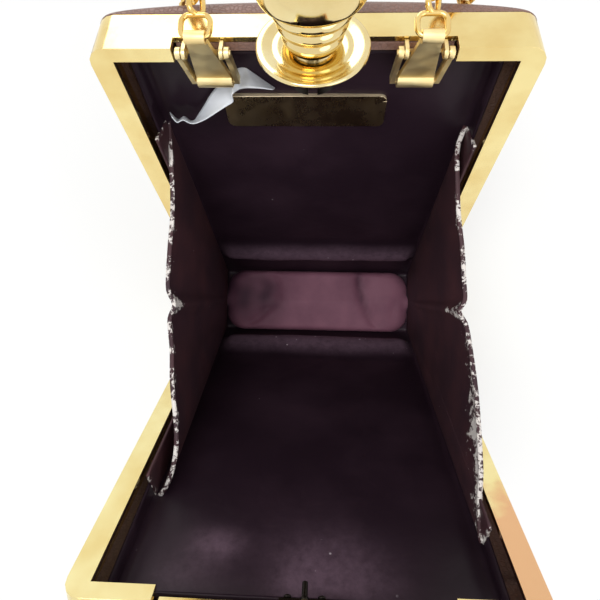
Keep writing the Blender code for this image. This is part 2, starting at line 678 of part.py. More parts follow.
def disc_profile():
    """The thin disc under the neck: a shallow dish inside a rounded rim, bored for the spindle."""
    dish = DISC_RADIUS * 2 / 3
    return [
        (SPINDLE_HOLE, DISC_HIGH - DISC_DISH),
        (dish, DISC_HIGH - DISC_DISH),
        (DISC_RADIUS - DISC_DISH, DISC_HIGH),
        (DISC_RADIUS, DISC_HIGH - DISC_DISH),
        (DISC_RADIUS, DISC_LOW + DISC_DISH / 2),
        (DISC_RADIUS - DISC_DISH, DISC_LOW),
        (SPINDLE_HOLE, DISC_LOW),
    ]


def neck_profile():
    """Three rounded rings that grow upward, on a short foot, with the stud that carries the cap."""
    stud_top = NECK_HIGH + NECK_STUD
    points = [(0.0, stud_top), (NECK_STUD_RADIUS, stud_top), (NECK_STUD_RADIUS, NECK_HIGH)]
    for i in reversed(range(len(BEAD_RADII))):
        middle = NECK_LOW + NECK_FOOT + BEAD_PITCH * (i + 0.5)
        for step in range(7):
            angle = (90 - 30 * step) * DEG
            radius = BEAD_RADII[i] - BEAD_GROOVE * (1 - math.cos(angle))
            points.append((radius, middle + BEAD_PITCH / 2 * math.sin(angle)))
    points = [point for i, point in enumerate(points) if i == 0 or point[1] <= points[i - 1][1]]
    foot = BEAD_RADII[0] - BEAD_GROOVE
    return points + [(foot, NECK_LOW), (0.0, NECK_LOW)]


def cap_profile():
    """The domed cap: a nearly flat underside, a round lower edge and a full dome."""
    outline_shares = (
        (0.0, 1.015), (0.30, 1.0), (0.56, 0.93), (0.76, 0.80), (0.90, 0.62), (0.975, 0.43), (1.0, 0.25),
        (0.985, 0.13), (0.93, 0.05), (0.84, 0.01), (0.70, 0.0), (0.0, 0.0),
    )
    return [(CAP_RADIUS * r, CAP_LOW + CAP_HEIGHT * h) for r, h in outline_shares]


def hook_slot():
    """The slot of the rotary hook: straight in from the front, then round the spindle."""
    near = POST_DEPTH - POST_RADIUS - POST_CLEARANCE
    far = POST_DEPTH + POST_RADIUS + POST_CLEARANCE
    half = POST_RADIUS + POST_CLEARANCE
    out = CAM_RADIUS + OVERRUN
    start = -90 * DEG
    end = start + CAM_TURN
    lead = math.asin(half / far)
    tip_centre = (POST_DEPTH * math.cos(end), POST_DEPTH * math.sin(end))
    points = [(-half, -out), (half, -out), (half, -far * math.cos(lead))]
    points += arc((0.0, 0.0), far, start + lead, end, 8)[1:]
    points += arc(tip_centre, half, end, end + math.pi, 6)[1:-1]
    points += arc((0.0, 0.0), near, end, start, 8)
    points += [(-half, -near)]
    return points


def keyhole(centre, radius, neck, opening, steps=14):
    """A round head's outline that opens into a neck of half-width neck, up or down by opening."""
    spread = math.asin(neck / radius)
    return arc(centre, radius, opening + spread, opening + 2 * math.pi - spread, steps)


def circle(centre, radius, steps=16):
    """A full circle's points."""
    return arc(centre, radius, 0.0, 2 * math.pi, steps)[:-1]


def make_lug(word, x, back):
    """The lug of one chain end: a small base behind the slot, two ears and a pin through each ear."""
    pin = (LUG_PIN_DEPTH, LUG_PIN_HEIGHT)
    span = (x - EAR_OUTER, x + EAR_OUTER)
    depth = (BRACKET_BACK - LUG_BASE_THICKNESS, BRACKET_BACK)
    lug = add(word + "_lug", box(span, depth, (LIP, LIP + LUG_BASE)), back, GOLD)
    ear = [(BRACKET_BACK, LIP), (BRACKET_BACK, LUG_PIN_HEIGHT + EAR_ROUND)]
    ear += arc(pin, EAR_ROUND, math.pi / 2, math.pi * 3 / 2, 8)
    for low in (x - EAR_OUTER, x + EAR_INNER):
        join(lug, plate("X", low, low + EAR_THICKNESS, ear))
    reach = EAR_OUTER + OVERRUN
    cut(lug, rod("X", LUG_HOLE, pin, x - reach, x + reach))
    for end, side in (("left", -1), ("right", 1)):
        stub = rod("X", LUG_PIN_RADIUS, pin, x + side * EAR_INNER, x + side * LUG_PIN_HALF)
        add(word + "_lug_pin_" + end, stub, back, GOLD)


def make_bail(word, holder):
    """The bail that swings on a lug's pins: two flat legs and the bar between them."""
    inside = BAIL_THICKNESS - BAIL_LENGTH
    fork = [
        (-BAIL_OUTER, BAIL_STRIP), (-BAIL_OUTER, -BAIL_LENGTH), (BAIL_OUTER, -BAIL_LENGTH),
        (BAIL_OUTER, BAIL_STRIP), (BAIL_INNER, BAIL_STRIP), (BAIL_INNER, inside),
        (-BAIL_INNER, inside), (-BAIL_INNER, BAIL_STRIP),
    ]
    bail = add(word + "_bail", plate("Y", -BAIL_STRIP, BAIL_STRIP, fork), holder, GOLD)
    half = BAIL_STRIP / 2
    side_view = keyhole((0.0, 0.0), EAR_ROUND, half, -math.pi / 2)
    side_view += [(-half, -BAIL_LENGTH - OVERRUN), (half, -BAIL_LENGTH - OVERRUN)]
    wide = BAIL_OUTER + OVERRUN
    cut(bail, plate("X", -wide, wide, side_view), "INTERSECT")
    cut(bail, rod("X", LUG_HOLE, (0.0, 0.0), -wide, wide))


def make_hanger(word, holder):
    """The folded connector round a bail's bar, and the oval link in its upper eye."""
    eye = (0.0, HANGER_LENGTH)
    outline = keyhole((0.0, 0.0), FOLD_HOLE + HANGER_STRIP, HANGER_STRIP, math.pi / 2)
    outline += keyhole(eye, EYE_HOLE + HANGER_STRIP, HANGER_STRIP, -math.pi / 2)
    holes = circle((0.0, 0.0), FOLD_HOLE), circle(eye, EYE_HOLE)
    wide = HANGER_BASE_HALF + OVERRUN
    hanger = add(word + "_hanger", plate("X", -wide, wide, outline, *holes), holder, GOLD)
    low, high = -FOLD_HOLE - OVERRUN, HANGER_LENGTH + EYE_HOLE + OVERRUN
    shoulder = HANGER_LENGTH - EYE_HOLE
    taper = [
        (-HANGER_BASE_HALF, low), (HANGER_BASE_HALF, low), (HANGER_BASE_HALF, FOLD_HOLE),
        (HANGER_TIP_HALF, shoulder), (HANGER_TIP_HALF, high), (-HANGER_TIP_HALF, high),
        (-HANGER_TIP_HALF, shoulder), (-HANGER_BASE_HALF, FOLD_HOLE),
    ]
    deep = FOLD_HOLE + OVERRUN
    cut(hanger, plate("Y", -deep, deep, taper), "INTERSECT")
    link = add(word + "_end_link", ring_mesh(), holder, GOLD)
    link.location = (0.0, 0.0, HANGER_LENGTH)
    link.rotation_euler = (HANGER_LEAN - HALF_OPEN - LINK_LEAN, 0.0, 0.0)


def make_chain_end(word, side, back):
    """All the hardware of one chain end, hanging as it does in the open bag."""
    make_lug(word, side * HANGER_X, back)
    swing = empty(word + "_bail_axis", back)
    swing.location = (side * HANGER_X, LUG_PIN_DEPTH, LUG_PIN_HEIGHT)
    swing.rotation_euler = (HALF_OPEN, 0.0, 0.0)
    make_bail(word, swing)
    fold = empty(word + "_hanger_axis", swing)
    fold.location = (0.0, 0.0, BAIL_THICKNESS / 2 - BAIL_LENGTH)
    fold.rotation_euler = (-HANGER_LEAN, 0.0, 0.0)
    make_hanger(word, fold)


def ring_mesh():
    """The oval end link: a round wire on a closed line, standing on its lower run."""
    curve = bpy.data.curves.new("link", "CURVE")
    curve.dimensions = "3D"
    curve.bevel_depth = LINK_WIRE
    curve.bevel_resolution = 2
    line = rounded(-LINK_HALF, LINK_HALF, 0.0, LINK_LENGTH, LINK_CORNER, 4)
    spline = curve.splines.new("POLY")
    spline.points.add(len(line) - 1)
    for point, (x, z) in zip(spline.points, line):
        point.co = (x, 0.0, z, 1.0)
    spline.use_cyclic_u = True
    return from_curve(curve, Matrix.Identity(4))


def make_soft(centre):
    """Gussets and floor pad, which cross the hinge, in the frame of the standing bag's hinge axis."""
    def half_point(facing, depth, height):
        lean_y = height * math.sin(HALF_OPEN) + depth * math.cos(HALF_OPEN)
        return (facing * lean_y, height * math.cos(HALF_OPEN) - depth * math.sin(HALF_OPEN))

    sheet = [half_point(BACK, GUSSET_INSET, GUSSET_FOOT), half_point(BACK, GUSSET_INSET, GUSSET_TOP),
             (0.0, GUSSET_MID), half_point(FRONT, GUSSET_INSET, GUSSET_TOP),
             half_point(FRONT, GUSSET_INSET, GUSSET_FOOT), (0.0, GUSSET_APEX)]
    outer = INNER_HALF - SEAT_GAP
    for word, side in (("left", -1), ("right", 1)):
        mesh = plate("X", side * (outer - GUSSET_THICKNESS), side * outer, sheet)
        add("gusset_" + word, mesh, centre, PLUM)

    low = FLOOR + SEAT_GAP
    high = low + PAD_THICKNESS
    tilt = math.cos(HALF_OPEN)
    pad = [half_point(BACK, PAD_DEPTH, low), half_point(BACK, PAD_DEPTH, high), (0.0, high / tilt),
           half_point(FRONT, PAD_DEPTH, high), half_point(FRONT, PAD_DEPTH, low), (0.0, low / tilt)]
    add("floor_pad", plate("X", -PAD_HALF, PAD_HALF, pad), centre, SATIN)


def make_plate_and_label(back):
    """The bare metal plate on the back lining and the blank ribbon beside it."""
    outline = rounded(-PLATE_HALF, PLATE_HALF, -PLATE_HEIGHT / 2, PLATE_HEIGHT / 2, PLATE_CORNER, 3)
    item = add("lining_plate", plate("Y", -PLATE_THICKNESS, 0.0, outline), back, GOLD)
    bevel = item.modifiers.new("front edge", "BEVEL")
    bevel.width = PLATE_CHAMFER
    bevel.segments = 1
    bevel.limit_method = "VGROUP"
    group = item.vertex_groups.new(name="front")
    group.add([v.index for v in item.data.vertices if v.co.y < -PLATE_THICKNESS / 2], 1.0, "REPLACE")
    bevel.vertex_group = "front"
    fall = (LINING_DEPTH_BOTTOM - LINING_DEPTH_TOP) / (LINING_TOP - FLOOR)
    item.location = (PLATE_X, lining_depth(PLATE_CENTRE) - SEAT_GAP, PLATE_CENTRE)
    item.rotation_euler = (math.atan(fall), 0.0, 0.0)

    high = LINING_TOP - SEAT_GAP
    across = (LABEL_X - LABEL_WIDTH / 2, LABEL_X + LABEL_WIDTH / 2)
    flat = box(across, (LABEL_DEPTH, LABEL_DEPTH + LABEL_THICKNESS), (high - LABEL_LENGTH, high))
    add("ribbon_label", flat, back, RIBBON)


def smooth_line(points, spacing):
    """Points along a smooth curve through the route's own points, about spacing apart."""
    spans = [(q - p).length for p, q in zip(points, points[1:])]
    slopes = [(q - p) / span for p, q, span in zip(points, points[1:], spans)]
    bends = [slopes[0]]
    for before, after, span, next_span in zip(slopes, slopes[1:], spans, spans[1:]):
        bends.append((before * next_span + after * span) / (span + next_span))
    bends.append(slopes[-1])
    fine = []
    for i, span in enumerate(spans):
        for t in (step / 16 for step in range(16)):
            rise = t * t * (3 - 2 * t)
            fine.append(points[i] * (1 - rise) + points[i + 1] * rise
                        + bends[i] * (span * t * (1 - t) ** 2) - bends[i + 1] * (span * t * t * (1 - t)))
    fine.append(points[-1])
    total = sum((q - p).length for p, q in zip(fine, fine[1:]))
    count = max(2, round(total / spacing))
    line, walked = [fine[0]], 0.0
    for p, q in zip(fine, fine[1:]):
        step = (q - p).length
        while len(line) < count and walked + step >= total / count * len(line):
            line.append(p.lerp(q, (total / count * len(line) - walked) / step))
        walked += step
    return line + [fine[-1]]


def chain_line(route, word, coil_end):
    """A free stretch of chain from its end link to the coil, as points along a smooth curve.

    The route's points follow the two places that the stretch joins. Its first and last steps are straight.
    """
    link = bpy.data.objects[word + "_end_link"].matrix_world
    start = link @ Vector((0.0, 0.0, LINK_LENGTH + LINK_WIRE + SEAT_GAP))
    end = coil_end - Vector((0.0, SEAT_GAP, 0.0))
    points = [Vector(point) for point in route]
    first, last = start - points[0], end - points[-1]
    count = len(points) - 1
    points = [p + first * (1 - i / count) + last * i / count for i, p in enumerate(points)]
    return points[:1] + smooth_line(points[1:-1], CHAIN_SPACING) + points[-1:]


def tube(name, line, resolution):
    """A round tube along a line of points, as one closed piece."""
    curve = bpy.data.curves.new(name, "CURVE")
    curve.dimensions = "3D"
    curve.bevel_depth = CHAIN_RADIUS
    curve.bevel_resolution = resolution
    curve.use_fill_caps = True
    spline = curve.splines.new("POLY")
    spline.points.add(len(line) - 1)
    for point, place in zip(spline.points, line):
        point.co = (*place, 1.0)
    item = bpy.data.objects.new(name, curve)
    curve.materials.append(GOLD)
    PARTS.objects.link(item)
    return item


def coil_line():
    """The coil's centreline: in for half its turns on the floor, then up one layer and out again."""
    count = round(COIL_TURNS * COIL_SEGMENTS)
    outer = COIL_MIDDLE + COIL_STEP * COIL_TURNS / 4
    line = []
    for i in range(count + 1):
        turns = i / COIL_SEGMENTS
        radius = outer - COIL_STEP * min(turns, COIL_TURNS - turns)
        rise = min(1.0, max(0.0, (turns - COIL_TURNS / 2 + 0.25) / 0.5))
        rise = rise * rise * (3 - 2 * rise)
        angle = 2 * math.pi * turns
        line.append(Vector((radius * math.cos(angle), COIL_CENTRE_Y + radius * math.sin(angle),
                            CHAIN_RADIUS + COIL_STEP * rise)))
    straight = Vector((0.0, CHAIN_WIDTH, 0.0))
    return [line[0] - straight] + line + [line[-1] - straight]


def least_gap(line, width, turn):
    """The least gap of a tube to itself, leaving out each point's own neighbours along the line."""
    near = [(p - q).length for i, p in enumerate(line) for q in line[i + turn // 2:]]
    return min(near) - width


def make_chain():
    """The shoulder chain: two free stretches and the coil that takes up the length between them."""
    bpy.context.view_layer.update()
    coil = coil_line()
    lines = {
        "chain_left": chain_line(LEFT_ROUTE, "left", coil[-1]),
        "chain_coil": coil,
        "chain_right": chain_line(RIGHT_ROUTE, "right", coil[0]),
    }
    for name, line in lines.items():
        tube(name, line, 1 if name == "chain_coil" else 2)
        print(name, "mm:", round(sum((q - p).length for p, q in zip(line, line[1:])) / MM, 1))
    gap = least_gap(coil, CHAIN_WIDTH, COIL_SEGMENTS)
    print("coil's least gap to itself, mm:", round(gap / MM, 2))


def stand_up(root):
    """Puts the bag on z = 0 with its box centred, and reports where the hinge axis lies."""
    bpy.context.view_layer.update()
    depsgraph = bpy.context.evaluated_depsgraph_get()
    corners = []
    for item in PARTS.objects:
        if item.type == "MESH":
            shape = item.evaluated_get(depsgraph)
            corners += [shape.matrix_world @ v.co for v in shape.data.vertices]
    low = Vector([min(c[i] for c in corners) for i in range(3)])
    high = Vector([max(c[i] for c in corners) for i in range(3)])
    root.location = (-(low.x + high.x) / 2, -(low.y + high.y) / 2, -low.z)
    print("hinge axis at, mm:", [round(value / MM, 3) for value in root.location])
    print("box, mm:", [round(value / MM, 2) for value in high - low])


def main():
    root = empty("hinge_axis")
    back = empty("back_half", root)
    back.rotation_euler = (-HALF_OPEN, 0.0, 0.0)
    front = empty("front_half", root)
    front.rotation_euler = (HALF_OPEN, 0.0, 0.0)
    knob = empty("knob", back)
    make_halves(back, front)
    make_clasp(back, front, knob)
    for word, side in (("left", -1), ("right", 1)):
        make_chain_end(word, side, back)
    make_soft(root)
    make_plate_and_label(back)
    stand_up(root)
    make_chain()


main()
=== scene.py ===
"""A tall hinged box clutch, standing open: gold-plated frames, leather panels, a dark lining and a chain."""

import logging
import math
from collections.abc import Callable, Iterator, Sequence
from dataclasses import dataclass, field
from enum import Enum
from functools import partial

import bmesh
import bpy
from mathutils import Matrix, Vector, noise


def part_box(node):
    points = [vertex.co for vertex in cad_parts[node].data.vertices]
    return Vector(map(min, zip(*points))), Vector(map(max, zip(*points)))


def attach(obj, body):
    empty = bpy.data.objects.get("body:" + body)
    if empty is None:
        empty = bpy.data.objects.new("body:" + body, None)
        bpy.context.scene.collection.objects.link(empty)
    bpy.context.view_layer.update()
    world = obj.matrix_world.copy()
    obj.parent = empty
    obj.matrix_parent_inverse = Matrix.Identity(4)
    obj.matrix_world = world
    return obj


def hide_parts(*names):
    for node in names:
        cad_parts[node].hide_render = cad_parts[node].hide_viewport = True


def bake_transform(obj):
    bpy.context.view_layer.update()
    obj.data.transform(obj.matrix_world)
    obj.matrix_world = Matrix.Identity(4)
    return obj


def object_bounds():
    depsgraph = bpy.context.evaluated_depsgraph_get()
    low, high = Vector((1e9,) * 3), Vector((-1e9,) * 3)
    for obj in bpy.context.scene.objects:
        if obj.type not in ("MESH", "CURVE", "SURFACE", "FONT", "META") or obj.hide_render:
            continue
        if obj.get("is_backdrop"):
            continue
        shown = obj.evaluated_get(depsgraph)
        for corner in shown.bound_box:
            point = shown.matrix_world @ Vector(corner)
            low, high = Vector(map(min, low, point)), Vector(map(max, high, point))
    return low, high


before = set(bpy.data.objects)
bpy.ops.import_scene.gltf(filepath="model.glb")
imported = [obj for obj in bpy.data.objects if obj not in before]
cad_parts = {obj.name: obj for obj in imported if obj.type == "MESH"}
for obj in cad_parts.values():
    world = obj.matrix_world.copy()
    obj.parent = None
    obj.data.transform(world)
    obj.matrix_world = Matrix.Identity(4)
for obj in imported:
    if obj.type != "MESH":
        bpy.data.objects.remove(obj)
LOG = logging.getLogger("clutch")
MM = 0.001
WHITE = (1.0, 1.0, 1.0, 1.0)
Point = tuple[float, float]
Place = tuple[float, float, float]
Material = bpy.types.Material
Piece = bpy.types.Object
Tree = bpy.types.NodeTree
Socket = bpy.types.NodeSocket
NodeAdder = Callable[..., bpy.types.Node]


def linear(code: str) -> tuple[float, float, float, float]:
    """Turns an sRGB hex colour to linear light.

    Args:
        code: the colour as "#rrggbb".

    Returns:
        The colour as linear red, green, blue and an alpha of 1.
    """
    parts = [int(code[i : i + 2], 16) / 255 for i in (1, 3, 5)]
    red, green, blue = (p / 12.92 if p <= 0.04045 else ((p + 0.055) / 1.055) ** 2.4 for p in parts)
    return red, green, blue, 1.0


def smooth(value: float) -> float:
    """A step from 0 to 1 that starts and ends gently."""
    value = min(1.0, max(0.0, value))
    return value * value * (3 - 2 * value)


def bell(value: float) -> float:
    """1 at zero, falling away to nothing on both sides."""
    return math.exp(-(value**2))


def quarter_round(share: float) -> float:
    """The rise of a quarter circle, from 0 at 0 to 1 at 1."""
    return math.sqrt(max(0.0, 1 - (1 - min(1.0, share)) ** 2))


def waver(*place: float) -> float:
    """Smooth noise from -1 to 1, at three numbers that are mostly metres times waves per metre."""
    return noise.noise(Vector(place))


def spread(low: float, high: float, count: int) -> list[float]:
    """count + 1 even values from low to high."""
    return [low + (high - low) * i / count for i in range(count + 1)]


def length_of(line: Sequence[Vector]) -> float:
    """How long a line of points is."""
    return sum((q - p).length for p, q in zip(line, line[1:]))


def places_along(line: Sequence[Vector], count: int, first: float) -> list[tuple[Vector, Vector]]:
    """Even places along a line.

    Args:
        line: the line's points.
        count: how many steps the line has.
        first: how many steps in the first place lies.

    Returns:
        Up to count places, each with the line's direction there.
    """
    step, walked, places = length_of(line) / count, 0.0, []
    for p, q in zip(line, line[1:]):
        span = (q - p).length
        while len(places) < count and walked + span >= step * (len(places) + first):
            share = (step * (len(places) + first) - walked) / span
            places.append((p.lerp(q, share), (q - p).normalized()))
        walked += span
    return places


def curve_through(
    points: Sequence[Vector], steps: int, ends: tuple[Vector, Vector] | None = None
) -> list[Vector]:
    """A smooth line through points, each of whose stretches is a Catmull-Rom curve.

    Args:
        points: what the line passes through.
        steps: how many parts each stretch gets.
        ends: points beyond both ends that bend the line there, where it doesn't run straight out.

    Returns:
        The line's points.
    """
    before, after = ends or (points[0] * 2 - points[1], points[-1] * 2 - points[-2])
    padded = [before, *points, after]
    line = []
    for a, b, c, d in zip(padded, padded[1:], padded[2:], padded[3:]):
        for t in (i / steps for i in range(steps)):
            bend = (2 * a - 5 * b + 4 * c - d) * t**2 + (3 * b - a - 3 * c + d) * t**3
            line.append(0.5 * (2 * b + (c - a) * t + bend))
    return [*line, points[-1]]


class Half(Enum):
    """The two halves of the bag, by the way each lies from the hinge."""

    BACK = 1
    FRONT = -1

    @property
    def word(self) -> str:
        """The half's name as the pieces have it."""
        return self.name.lower()

    @property
    def body(self) -> str:
        """The body that carries this half."""
        return self.word + "_half"


@dataclass(frozen=True)
class BagSizes:
    """The sizes that the pieces share, in metres, as the solids have them."""

    half_width: float = 55.0 * MM
    bottom: float = -2.0 * MM
    height: float = 159.2 * MM
    half_open: float = math.radians(23.16)
    corner: float = 5.0 * MM
    depth_bottom: float = 15.9 * MM
    depth_top: float = 12.2 * MM
    hinge_y: float = -1.73 * MM
    hinge_z: float = 9.207 * MM
    gap: float = 0.3 * MM

    def place(self, half: Half, x: float, depth: float, height: float) -> Vector:
        """The world place of a point of one half.

        Args:
            half: which half.
            x: along the hinge.
            depth: away from the face where the halves meet.
            height: up the half, from the hinge axis.

        Returns:
            The point in the standing bag's frame.
        """
        sine, cosine = math.sin(self.half_open), math.cos(self.half_open)
        y = half.value * (height * sine + depth * cosine) + self.hinge_y
        return Vector((x, y, height * cosine - depth * sine + self.hinge_z))

    def within(self, half: Half, point: Vector) -> Point:
        """Where a world point lies in one half, which undoes place.

        Args:
            half: which half.
            point: the point in the standing bag's frame.

        Returns:
            Its depth and its height.
        """
        sine, cosine = math.sin(self.half_open), math.cos(self.half_open)
        y, z = (point.y - self.hinge_y) * half.value, point.z - self.hinge_z
        return y * cosine - z * sine, y * sine + z * cosine

    def over_hinge(self, x: float, y: float, z: float) -> Vector:
        """The world place of a point that is measured from the hinge axis."""
        return Vector((x, y + self.hinge_y, z + self.hinge_z))

    def share(self, height: float) -> float:
        """How far up a half a height is, from 0 at its foot to 1 at its top."""
        return (height - self.bottom) / (self.height - self.bottom)

    def back_depth(self, height: float) -> float:
        """How deep the frame's back edge lies at a height."""
        return self.depth_bottom + (self.depth_top - self.depth_bottom) * self.share(height)


SIZES = BagSizes()


def cleared(owner: Material | bpy.types.World) -> Tree:
    """Empties the node tree of a new material or world.

    Args:
        owner: the material or world.

    Returns:
        Its tree.
    """
    owner.use_nodes = True
    owner.node_tree.nodes.clear()
    return owner.node_tree


def add_node(tree: Tree, kind: str, inputs: dict | None = None, **settings: object) -> bpy.types.Node:
    """Adds a node with its settings and its inputs.

    Args:
        tree: the tree that gets the node.
        kind: the node's type, without its first word.
        inputs: each socket's name or number, with a value, or with the output or node that feeds it.
        settings: the node's own settings; stops are a ramp's (place, hex colour) pairs.

    Returns:
        The new node.
    """
    node = tree.nodes.new("ShaderNode" + kind)
    for place, (position, code) in enumerate(settings.pop("stops", ())):
        ramp = node.color_ramp.elements
        stop = ramp[place] if place < 2 else ramp.new(position)
        stop.position = position
        stop.color = linear(code)
    for name, value in settings.items():
        setattr(node, name, value)
    for name, value in (inputs or {}).items():
        if isinstance(value, bpy.types.Node):
            value = next(output for output in value.outputs if output.enabled)
        if isinstance(value, bpy.types.NodeSocket):
            tree.links.new(value, node.inputs[name])
        else:
            node.inputs[name].default_value = value
    return node


def seen_directly(tree: Tree) -> bpy.types.Node:
    """Tells what the camera sees, straight or in metal or glass, from what lights a surface.

    Args:
        tree: the tree that gets the nodes.

    Returns:
        A node that is 1 for the first and 0 for the second.
    """
    path = add_node(tree, "LightPath").outputs
    mirrored = add_node(tree, "Math", {0: path["Is Camera Ray"], 1: path["Is Glossy Ray"]}, operation="MAXIMUM")
    return add_node(tree, "Math", {0: mirrored, 1: path["Is Transmission Ray"]}, operation="MAXIMUM")


def per_mm(size: float) -> float:
    """The scale of a pattern whose features are size millimetres apart."""
    return 1000.0 / size


@dataclass(frozen=True)
class Finish:
    """A material, whose patterns are laid out in metres on the piece."""

    name: str

    def make(self) -> Material:
        """Builds the material.

        Returns:
            The new material.
        """
        material = bpy.data.materials.new(self.name)
        add = partial(add_node, cleared(material))
        shader = add("BsdfPrincipled", self.look(add, add("TexCoord").outputs["Object"]))
        add("OutputMaterial", {"Surface": shader})
        return material

    def look(self, add: NodeAdder, place: Socket) -> dict[str, object]:
        """Adds the nodes of the finish.

        Args:
            add: adds a node to the material.
            place: the place of a point on the piece.

        Returns:
            What feeds each input of the Principled shader.
        """
        raise NotImplementedError


@dataclass(frozen=True)
class PolishedPlate(Finish):
    """Brass, polished and plated with yellow gold, with the light scuffs of use.

    The plate gives the eye a warm mirror whose edge is a little uneven: fine hairline scuffs about
    0.25 mm apart, a slow ripple every 9 mm from the polishing wheel, and patches where it has dulled. A
    copper colour, where one is given, is a painted reflection in soft patches at the foot of one arm,
    and a pale colour, where one is given, is a painted highlight on a stamped plate's top edge, on the
    faces that point the given way.
    """

    light: str = "#f5e2a2"
    deep: str = "#e9cd88"
    roughness: float = 0.11
    ripple: float = 0.25
    scuffs: float = 0.10
    reflection_colour: str | None = None
    reflection_x: Point = (40.0 * MM, 46.0 * MM)
    reflection_y: Point = (-43.0 * MM, -47.5 * MM)
    top_edge_highlight: str | None = None
    highlight_faces: Place = (0.0, 0.393, 0.919)

    def look(self, add: NodeAdder, place: Socket) -> dict[str, object]:
        """Adds the plate's tone, dull patches, scuffs and ripple.

        Args:
            add: adds a node to the material.
            place: the place of a point on the piece.

        Returns:
            What feeds each input of the Principled shader.
        """
        tone = add("TexNoise", {"Vector": place, "Scale": per_mm(14), "Detail": 4.0})
        colour = add("ValToRGB", {"Fac": tone}, stops=((0.35, self.deep), (0.65, self.light)))
        dull = add("TexNoise", {"Vector": place, "Scale": per_mm(6), "Detail": 3.0})
        # Real scuffs are about 0.05 mm apart; here they are five times as coarse, so that they show.
        drawn = add("Mapping", {"Vector": place, "Scale": (1.0, 0.12, 0.35), "Rotation": (0.3, 0.5, 0.9)})
        hair = add("TexNoise", {"Vector": drawn, "Scale": per_mm(0.25), "Detail": 3.0})
        ends = {"To Min": self.roughness * 0.8, "To Max": self.roughness * 1.5}
        rough = add("MapRange", {"Value": dull, "From Min": 0.3, "From Max": 0.75, **ends})
        rough = add("Math", {0: hair, 1: self.scuffs, 2: rough}, operation="MULTIPLY_ADD")
        polish = add("TexNoise", {"Vector": place, "Scale": per_mm(9), "Detail": 2.0})
        wave = add("Bump", {"Height": polish, "Strength": self.ripple, "Distance": 0.5 * MM})
        bump = add("Bump", {"Height": hair, "Strength": 0.05, "Distance": 0.05 * MM, "Normal": wave})
        if self.reflection_colour:
            # A painted reflection: a warm copper colour in soft patches at the foot of one arm.
            apart = add("SeparateXYZ", {"Vector": place}).outputs
            cloud = add("TexNoise", {"Vector": place, "Scale": per_mm(7), "Detail": 4.0})
            along = add("Math", {0: cloud, 1: 12 * MM, 2: apart["Y"]}, operation="MULTIPLY_ADD")
            (x_from, x_to), (y_from, y_to) = self.reflection_x, self.reflection_y
            low = add("MapRange", {"Value": along, "From Min": y_from, "From Max": y_to})
            right = add("MapRange", {"Value": apart["X"], "From Min": x_from, "From Max": x_to})
            worn = add("Math", {0: low, 1: right}, operation="MULTIPLY")
            colour = add("Mix", {"Factor": worn, "A": colour, "B": linear(self.reflection_colour)}, data_type="RGBA")
        if self.top_edge_highlight:
            # A painted highlight: the plate's top edge, on the faces that point the given way, is painted a
            # paler colour, and it is brushed rougher, so that it catches light from all round.
            facing = add("NewGeometry").outputs["Normal"]
            up = add("VectorMath", {0: facing, 1: self.highlight_faces}, operation="DOT_PRODUCT")
            edge = add("MapRange", {"Value": up, "From Min": 0.35, "From Max": 0.75})
            colour = add("Mix", {"Factor": edge, "A": colour, "B": linear(self.top_edge_highlight)}, data_type="RGBA")
            rough = add("Math", {0: edge, 1: 0.45, 2: rough}, operation="MULTIPLY_ADD")
        return {"Base Color": colour, "Metallic": 1.0, "Roughness": rough, "Normal": bump}


@dataclass(frozen=True)
class NickelledSteel(Finish):
    """Steel, turned or stamped and nickel plated: a cool, slightly soft mirror with fine tool marks."""

    colour: str = "#c9c4ba"

    def look(self, add: NodeAdder, place: Socket) -> dict[str, object]:
        """Adds the tool marks, 0.4 mm apart.

        Args:
            add: adds a node to the material.
            place: the place of a point on the piece.

        Returns:
            What feeds each input of the Principled shader.
        """
        marks = add("TexNoise", {"Vector": place, "Scale": per_mm(0.4), "Detail": 3.0})
        rough = add("MapRange", {"Value": marks, "To Min": 0.18, "To Max": 0.42})
        bump = add("Bump", {"Height": marks, "Strength": 0.08, "Distance": 0.05 * MM})
        return {"Base Color": linear(self.colour), "Metallic": 1.0, "Roughness": rough, "Normal": bump}


